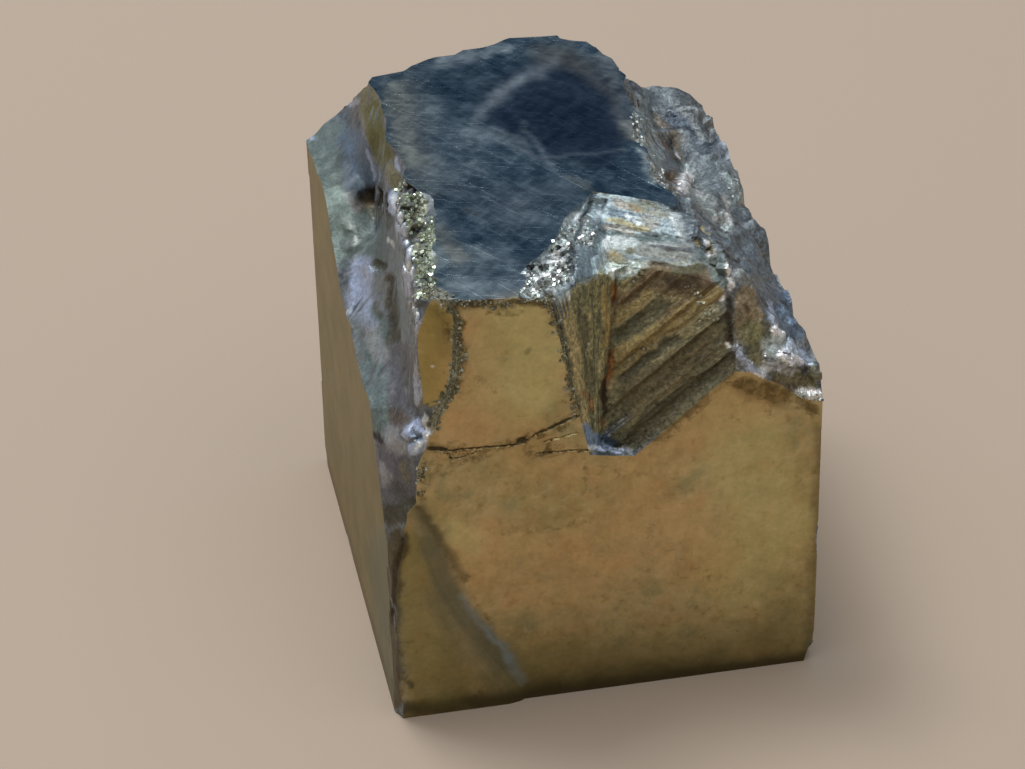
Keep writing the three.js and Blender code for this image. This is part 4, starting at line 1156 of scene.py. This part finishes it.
def brassShader(g):  # the cube's own faces: dull mirrors, mottled with tarnish
    look = crystalLook
    big = g.cloud(g.at, 0.14, 3)
    middling = g.cloud(g.at, 0.75, 4, 0.6)
    small = g.cloud(g.at, 3.4, 3, 0.65)
    patches = g.cloud(g.shifted((31, 7, 5)), 0.42, 5, 0.62)
    wash = g.cloud(g.shifted((3, 17, 9)), 1.5, 4, 0.6)
    brass = g.mix(g.step(big + middling * 0.5, 0.55, 0.95), look["brassDeep"], look["brassLight"])
    brass = g.mix(g.step(patches, 0.47, 0.34, 0, 0.75), brass, look["brassGreen"])
    brass = g.mix(g.step(patches, 0.52, 0.66, 0, 0.6), brass, look["brassCopper"])
    brass = g.mix(g.step(wash, 0.54, 0.72, 0, 0.6), brass, look["brassBrown"])
    brass = g.mix(g.step(wash, 0.46, 0.33, 0, 0.5), brass, look["brassPale"])
    # painted shade: the left face, seen at a graze, gets a darker and greyer brass than the front
    leftShadeTone = g.mix(g.step(patches + big * 0.5, 0.55, 0.95), look["sideShadeDeep"], look["sideShadeLight"])
    onLeft = g.step(g.x, -14.6, -14.9)
    brass = g.mix(onLeft * 0.85, brass, leftShadeTone)
    dots, dotColour, _ = g.cells(1.3)
    dotChance = g.split("ShaderNodeSeparateColor", dotColour)[0]
    pits = g.step(dots, 0.09, 0.02) * g.step(dotChance, 0.78, 0.8) * g.step(middling, 0.48, 0.6)
    veins = g.hairlines(g.at, 0.55, 0.010) * g.step(wash, 0.5, 0.66)
    colour = g.coated(brass, "face")
    colour = g.vectors("SCALE", colour, 0.58 + middling * 0.5 + small * 0.32)
    colour = g.mix(pits * 0.6 + veins * 0.3, colour, look["brassPit"])
    # painted contact shade: darker towards the bottom
    colour = g.mix(g.step(g.z + middling, 2.6, 0.2) * 0.55, colour, look["brassFootShade"])
    bend = g.add("ShaderNodeTexNoise", {}, {"Vector": g.at, "Scale": 1.1, "Detail": 2.0}, "Color")
    warped = g.vectors("ADD", g.at, g.vectors("SCALE", bend, 1.6))
    grit = g.cloud(warped, 1.3, 5, 0.7) + g.painted("faceGlitter") * 0.36
    colour = g.mix(g.step(grit, 0.6, 0.96) * 0.85, colour, look["grit"])
    worn = g.cloud(g.at, 1.6, 3, 0.7)
    crack = g.step(g.painted("crack") * g.step(worn, 0.3, 0.6, 0.35, 1.1), 0.15, 0.7)
    colour = g.mix(crack * 0.85, colour, look["crack"])
    rough = g.mixValue(crack, 0.2 + 0.12 * middling + 0.1 * small + 0.15 * g.painted("faceCover"), 0.8)
    height = middling * 0.02 + small * 0.004 - pits * 0.03 - veins * 0.006
    metal = 1 - crack * 0.8 - g.painted("faceCover") * 0.2
    g.surface(colour, metal, rough, height, look["brassSheen"])


def steelShader(g):  # the top: blue-grey, clouded and scratched; the blue is partly painted reflection of the dark room behind
    look = crystalLook
    middling = g.cloud(g.at, 0.32, 3, 0.5)
    small = g.cloud(g.at, 5.0, 4, 0.7)
    streaks = g.cloud(g.turned(-0.8, (0.45, 1.8, 1)), 1.2, 5, 0.62)
    crossing = g.cloud(g.turned(0.75, (0.4, 1.9, 1)), 1.2, 5, 0.62)
    scratches = [g.hairlines(g.turned(angle, stretch), scale, width) for angle, stretch, scale, width in (
        (0.95, (0.1, 1.2, 1), 0.8, 0.006), (-0.62, (0.1, 1.3, 1), 0.7, 0.006),
        (0.2, (0.14, 1.1, 1), 0.8, 0.005))]
    lines = scratches[0] + scratches[1] + scratches[2]
    soft = g.cloud(g.shifted((4, 9, 2)), 0.9, 4, 0.6)
    haze = g.step(middling, 0.3, 0.85) * 0.4 + g.step(soft, 0.35, 0.75) * 0.3
    haze = haze + g.step(streaks, 0.38, 0.75) * 0.16 + g.step(crossing, 0.4, 0.75) * 0.14
    steel = g.mix(haze, look["steelDeep"], look["steelHaze"])
    steel = g.mix(g.step(g.x, -4, -13) * g.step(middling, 0.35, 0.6) * 0.4, steel, look["steelLeft"])
    colour = g.coated(steel, "face")
    colour = g.vectors("SCALE", colour, 0.52 + streaks * 0.22 + crossing * 0.16 + soft * 0.2 + small * 0.4)
    bare = 1 - g.painted("faceCover") * 0.7
    colour = g.mix(lines * g.step(streaks, 0.35, 0.6) * 0.22 * bare, colour, look["scratch"])
    rough = 0.18 + 0.2 * haze + 0.12 * g.painted("faceCover")
    g.surface(colour, 1 - haze * 0.35, rough, middling * 0.012 + lines * 0.003, look["steelSheen"])


def glinting(g, colour, scale):  # a share of small facets get a painted glint, the others painted shade
    tilt, chance = g.facets(scale)
    glitter = g.painted("breakGlitter")
    colour = g.vectors("SCALE", colour, 1 - glitter * g.step(chance, 0.6, 0.1) * 0.5)
    flash = glitter * g.step(chance, 0.72, 0.86)
    return g.mix(flash * 0.6, colour, crystalLook["flash"]), tilt, flash


def breakShader(g):  # broken areas: slate grey, with the finishes of its parts
    look = crystalLook
    flow = g.cloud(g.vectors("MULTIPLY", g.at, (1.5, 0.8, 0.4)), 1.0, 4, 0.6)
    middling = g.cloud(g.at, 0.9, 4, 0.6)
    small = g.cloud(g.at, 3.6, 5, 0.75)
    plain = g.mix(g.step(flow * 0.4 + middling * 0.8, 0.42, 0.85), look["breakDeep"], look["breakLight"])
    colour = g.coated(plain, "break")
    calm = g.step(g.x, bandRight, bandRight - 1)  # the band is smoother than the corner on the right
    speckle = g.step(small, 0.25, 0.8, 0.5, 2.05) + (middling - 0.5) * 0.4
    colour = g.vectors("SCALE", colour, g.mixValue(calm * 0.5, speckle, 1.12))
    pits = g.step(g.cloud(g.at, 2.2, 4, 0.7), 0.56, 0.7) * (0.38 - calm * 0.2)
    colour = g.mix(pits, colour, look["breakPit"])
    colour, tilt, flash = glinting(g, colour, 6.5)
    rough = g.mixValue(g.painted("breakCover"), 0.5, g.painted("breakDull") + 0.15 * small)
    rough = g.mixValue(flash, rough, 0.2)
    sharp = tilt * (0.015 + 0.12 * g.painted("lumps") + 0.3 * g.painted("breakGlitter"))
    height = sharp + (middling * 0.1 + small * 0.05) * (1 - calm * 0.5)
    g.surface(colour, 0.7, rough, height)


def imprintShader(g):  # stripes along the slanting growth steps, and up the left wall
    upWall = g.dot(g.at, (-0.55, 0.53, 0.66))
    along = g.dot(g.at, (0.768, 0, 0.64))
    rise = (g.z - 20.5) / 12
    share = (g.x + 1.25 + rise * 2.55) / (rise * 3.95 + 1.25) * 7
    left = g.painted("leftWall")
    across = g.mixValue(left, upWall, share)
    down = g.mixValue(left, along, g.z * 1.4)

    def streaks(scale, stretch, detail, rough):
        place = g.add("ShaderNodeCombineXYZ", {}, {0: across, 1: down * stretch, 2: left * 3})
        return g.cloud(place, scale, detail, rough)

    broad = streaks(0.45, 0.07, 2, 0.5)
    thin = streaks(1.5, 0.28, 4, 0.6)
    small = g.cloud(g.at, 3.4, 5, 0.75)
    level = 0.5 + (broad - 0.5) * (1 - left * 0.5) + (thin - 0.5) * 0.5 + (small - 0.5) * 0.35
    wall = g.add("ShaderNodeValToRGB", {"stops": crystalLook["imprint"]}, {0: level})
    colour = g.coated(wall, "break")
    colour = g.vectors("SCALE", colour, g.step(small, 0.25, 0.8, 0.6, 1.8) + (thin - 0.5) * 0.6)
    colour = g.vectors("SCALE", colour, 1 + left * 0.9)
    colour, tilt, flash = glinting(g, colour, 7.0)
    rough = g.mixValue(flash, 0.45 + 0.2 * small, 0.2)
    height = tilt * (0.04 + 0.3 * g.painted("breakGlitter")) + thin * 0.22 + small * 0.1
    g.surface(colour, 0.75, rough, height)


def finishWith(name, shader):
    material = bpy.data.materials.new(name)
    material.use_nodes = True
    shader(Stone(material.node_tree))
    return material


materials = {
    "Brass": finishWith("brass faces", brassShader),
    "Steel": finishWith("steel blue top", steelShader),
    "Break": finishWith("broken pyrite", breakShader),
    "Imprint": finishWith("imprint walls", imprintShader),
}
print("materials made, with nodes:", {name: len(made.node_tree.nodes) for name, made in materials.items()})


class Tree(Graph):  # a Geometry Nodes tree with named inputs
    def __init__(self, name, sizes, materialNames):
        self.group = bpy.data.node_groups.new(name, "GeometryNodeTree")
        super().__init__(self.group)
        face = self.group.interface
        face.new_socket("Geometry", in_out="INPUT", socket_type="NodeSocketGeometry")
        for label, value in sizes.items():
            kind = "NodeSocketInt" if isinstance(value, int) else "NodeSocketFloat"
            face.new_socket(label, in_out="INPUT", socket_type=kind).default_value = value
        for label in materialNames:
            face.new_socket(label, in_out="INPUT", socket_type="NodeSocketMaterial")
        face.new_socket("Geometry", in_out="OUTPUT", socket_type="NodeSocketGeometry")
        self.source = self.add("NodeGroupInput", {}, {}, "Geometry").socket.node

    def entry(self, name):
        return Wire(self, self.source.outputs[name])

    def kept(self, name, kind="FLOAT"):
        return self.add("GeometryNodeInputNamedAttribute", {"data_type": kind}, {"Name": name})

    def coat(self, shape, label, there=True):  # the material of that input, on the faces asked for
        return self.add("GeometryNodeSetMaterial", {}, {"Geometry": shape, "Selection": there,
                                                        "Material": self.entry(label)})

    def random(self, kind, inputs, out=0):
        return self.add("FunctionNodeRandomValue", {"data_type": kind}, inputs, out)


def reliefTree():  # the relief of the broken areas
    sizes = {}
    for part in ("coarse", "fine", "swell", "lump"):
        for measure in ("Size", "Height"):
            sizes[part.title() + " " + measure] = crystalLook[part + measure]
    g = Tree("break relief", sizes, list(materials))
    at = g.vectors("SCALE", g.add("GeometryNodeInputPosition"), 1 / mm)

    def shards(size):  # each cell of space is a flat shard with its own tilt
        cells = g.add("ShaderNodeTexVoronoi", {}, {"Vector": at, "Scale": 1 / g.entry(size)}, "Color")
        middle = Wire(g, cells.socket.node.outputs["Position"])
        tilt = g.vectors("SUBTRACT", cells, (0.5, 0.5, 0.5))
        lean = g.dot(g.vectors("SUBTRACT", at, middle), tilt)
        return lean / g.entry(size) * 1.6 + g.dot(tilt, (1, 0, 0)) * 0.5

    jagged = g.entry("Coarse Height") * shards("Coarse Size") + g.entry("Fine Height") * shards("Fine Size")
    swell = (g.cloud(at, 1 / g.entry("Swell Size"), 3) - 0.5) * g.entry("Swell Height")
    lump = g.add("ShaderNodeTexVoronoi", {"feature": "SMOOTH_F1"},
                 {"Vector": at, "Scale": 1 / g.entry("Lump Size"), "Smoothness": 0.35}, "Distance")
    lumps = (0.45 - lump) * g.entry("Lump Height")
    height = jagged * g.kept("jagged") + swell * g.kept("swell") + lumps * g.kept("lumps") + g.kept("lift")
    move = g.vectors("SCALE", g.add("GeometryNodeInputNormal"), height * mm)
    moved = g.add("GeometryNodeSetPosition", {}, {"Geometry": g.entry("Geometry"), "Offset": move})
    done = g.coat(g.add("GeometryNodeRealizeInstances", {}, {0: moved}), "Break")
    for label in ("Brass", "Steel", "Imprint"):
        done = g.coat(done, label, g.kept(label.lower() + "Faces", "BOOLEAN"))
    g.add("NodeGroupOutput", {}, {"Geometry": done})
    return g.group


def addTree(piece, tree, values):
    modifier = piece.modifiers.new(tree.name, "NODES")
    modifier.node_group = tree
    for item in tree.interface.items_tree:
        if item.in_out == "INPUT" and item.name in values:
            modifier[item.identifier] = values[item.name]


def settle(piece):
    # the evaluated shape becomes the piece's own plain mesh
    bpy.context.view_layer.update()
    done = bpy.data.meshes.new_from_object(piece.evaluated_get(bpy.context.evaluated_depsgraph_get()))
    piece.modifiers.clear()
    piece.data = done


addTree(crystal, reliefTree(), materials)
settle(crystal)


def creaseEdges(mesh):
    bm = bmesh.new()
    bm.from_mesh(mesh)
    layer = bm.faces.layers.int["area"]
    limit = math.radians(crystalLook["creaseAngle"])
    for face in bm.faces:
        face.smooth = True
    for edge in bm.edges:
        kinds = [face[layer] for face in edge.link_faces]
        border = len(kinds) == 2 and kinds[0] != kinds[1] and min(kinds) < firstBreak
        edge.smooth = len(kinds) == 2 and edge.calc_face_angle() < (limit / 2 if border else limit)
    bm.to_mesh(mesh)
    bm.free()


creaseEdges(crystal.data)
print("crystal made:", len(crystal.data.polygons), "faces")

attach(crystal, "root")
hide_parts("pyrite_crystal")

# Grains: small crystals on the glittering edges of the breaks
grainLook = {
    "density": 16.0,  # on a square mm where the glitter is full
    "smallest": 0.09,  # mm across
    "largest": 0.27,
    "seed": 7,
    # Colours, linear, each from dark to light
    "silver": ((0.29, 0.31, 0.31), (0.78, 0.82, 0.81)),
    "gold": ((0.30, 0.34, 0.25), (0.70, 0.76, 0.65)),
    "khaki": ((0.15, 0.145, 0.095), (0.42, 0.42, 0.31)),
}


def grainShader(g):
    look = grainLook
    small = g.cloud(g.at, 1.2, 2)
    golden = g.step(g.x, bandRight, bandRight - 1)
    chance = g.painted("chance")
    silver = g.mix(g.step(chance, 0.2, 0.9), *look["silver"])
    gold = g.mix(g.step(chance, 0.2, 0.9), *look["gold"])
    khaki = g.mix(g.step(chance, 0.3, 0.95), *look["khaki"])
    crusty = g.step(g.painted("rim"), 0.0, 0.08)
    tone = g.mix(crusty, g.mix(golden, silver, gold), khaki)
    g.surface(tone, 0.85 - crusty * 0.4, 0.25 + small * 0.2 + crusty * 0.2, small * 0.05)


def grainTree():
    look = grainLook
    sizes = {"Density": look["density"] / mm ** 2, "Smallest": look["smallest"] * mm,
             "Largest": look["largest"] * mm, "Seed": look["seed"]}
    g = Tree("glittering grains", sizes, ["Grain"])
    there = g.step(g.kept("crust"), 0.22, 0.8)
    spots = g.add("GeometryNodeDistributePointsOnFaces", {}, {
        "Mesh": g.entry("Geometry"), "Density": g.entry("Density") * there * (1 + 5 * g.kept("rim")),
        "Seed": g.entry("Seed")}, "Points")
    chance = g.random("FLOAT", {"Seed": 3}, 1)
    spots = g.add("GeometryNodeStoreNamedAttribute", {"data_type": "FLOAT", "domain": "POINT"},
                  {"Geometry": spots, "Name": "chance", "Value": chance})
    turn = g.random("FLOAT_VECTOR", {1: (6.28, 6.28, 6.28), "Seed": 5})
    size = g.random("FLOAT", {2: g.entry("Smallest"), 3: g.entry("Largest"), "Seed": 9}, 1)
    shape = g.add("GeometryNodeMeshCube", {}, {"Size": (1, 1, 0.8)})
    grains = g.add("GeometryNodeInstanceOnPoints", {}, {
        "Points": spots, "Instance": shape, "Rotation": turn, "Scale": size * (1 - 0.7 * g.kept("rim"))})
    done = g.coat(g.add("GeometryNodeRealizeInstances", {}, {0: grains}), "Grain")
    g.add("NodeGroupOutput", {}, {"Geometry": done})
    return g.group


grains = placed("pyrite_grains", crystal.data.copy())
addTree(grains, grainTree(), {"Grain": finishWith("glittering grains", grainShader)})
settle(grains)
print("grains made:", len(grains.data.polygons), "faces")
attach(grains, "root")

# Floor and light
studio = {
    "floorHalf": 3.0,  # m
    "floor": (0.44, 0.355, 0.28),
    "floorRough": 0.85,
    "overheadColour": (0.92, 0.96, 1.0),
    "overhead": 1.25,
    "window": 0.7,
    "windowColour": (0.72, 0.78, 1.0),
    "windowAt": (-0.68, 0.62, 0.38),  # the way to it from the crystal
    "lowFront": (0.32, 0.27, 0.21),
    "lowBack": (0.085, 0.12, 0.17),
    "lampAt": (-0.12, 0.16, 0.55),  # m
    "lampSide": 0.2,
    "lampPower": 1.6,
    "lampColour": (1.0, 0.98, 0.95),
}


def makeFloor():
    half = studio["floorHalf"]
    shape = bpy.data.meshes.new("floor")
    shape.from_pydata([(-half, -half, 0), (half, -half, 0), (half, half, 0), (-half, half, 0)], [],
                      [(0, 1, 2, 3)])
    pale = bpy.data.materials.new("pale floor")
    pale.use_nodes = True
    inputs = pale.node_tree.nodes["Principled BSDF"].inputs
    inputs["Base Color"].default_value = (*studio["floor"], 1)
    inputs["Roughness"].default_value = studio["floorRough"]
    shape.materials.append(pale)
    return placed("floor", shape)


floor = makeFloor()


def studioLight(g):
    way = g.add("ShaderNodeTexCoord", {}, {}, "Generated")
    _, toBack, height = g.split("ShaderNodeSeparateXYZ", way)
    low = g.mix(g.step(toBack, -0.6, 0.4), studio["lowFront"], studio["lowBack"])
    side = g.dot(way, tuple(Vector(studio["windowAt"]).normalized()))
    low = g.mix(g.step(side, 0.82, 0.98) * studio["window"], low, studio["windowColour"])
    high = g.step(height, 0.66, 0.82)
    light = g.mix(high, low, tuple(studio["overhead"] * part for part in studio["overheadColour"]))
    shown = g.add("ShaderNodeBackground", {}, {"Color": light, "Strength": 1.0})
    g.add("ShaderNodeOutputWorld", {}, {"Surface": shown})


world = bpy.data.worlds.new("studio")
bpy.context.scene.world = world
world.use_nodes = True
studioLight(Graph(world.node_tree))


def softBox():
    lamp = bpy.data.lights.new("overhead", "AREA")
    lamp.shape = "SQUARE"
    lamp.size = studio["lampSide"]
    lamp.energy = studio["lampPower"]
    lamp.color = studio["lampColour"]
    holder = placed("overhead", lamp)
    holder.location = studio["lampAt"]
    holder.rotation_euler = (-Vector(studio["lampAt"])).to_track_quat("-Z", "Y").to_euler()


softBox()
bpy.context.scene.view_settings.view_transform = "Standard"
print("floor and lights set")
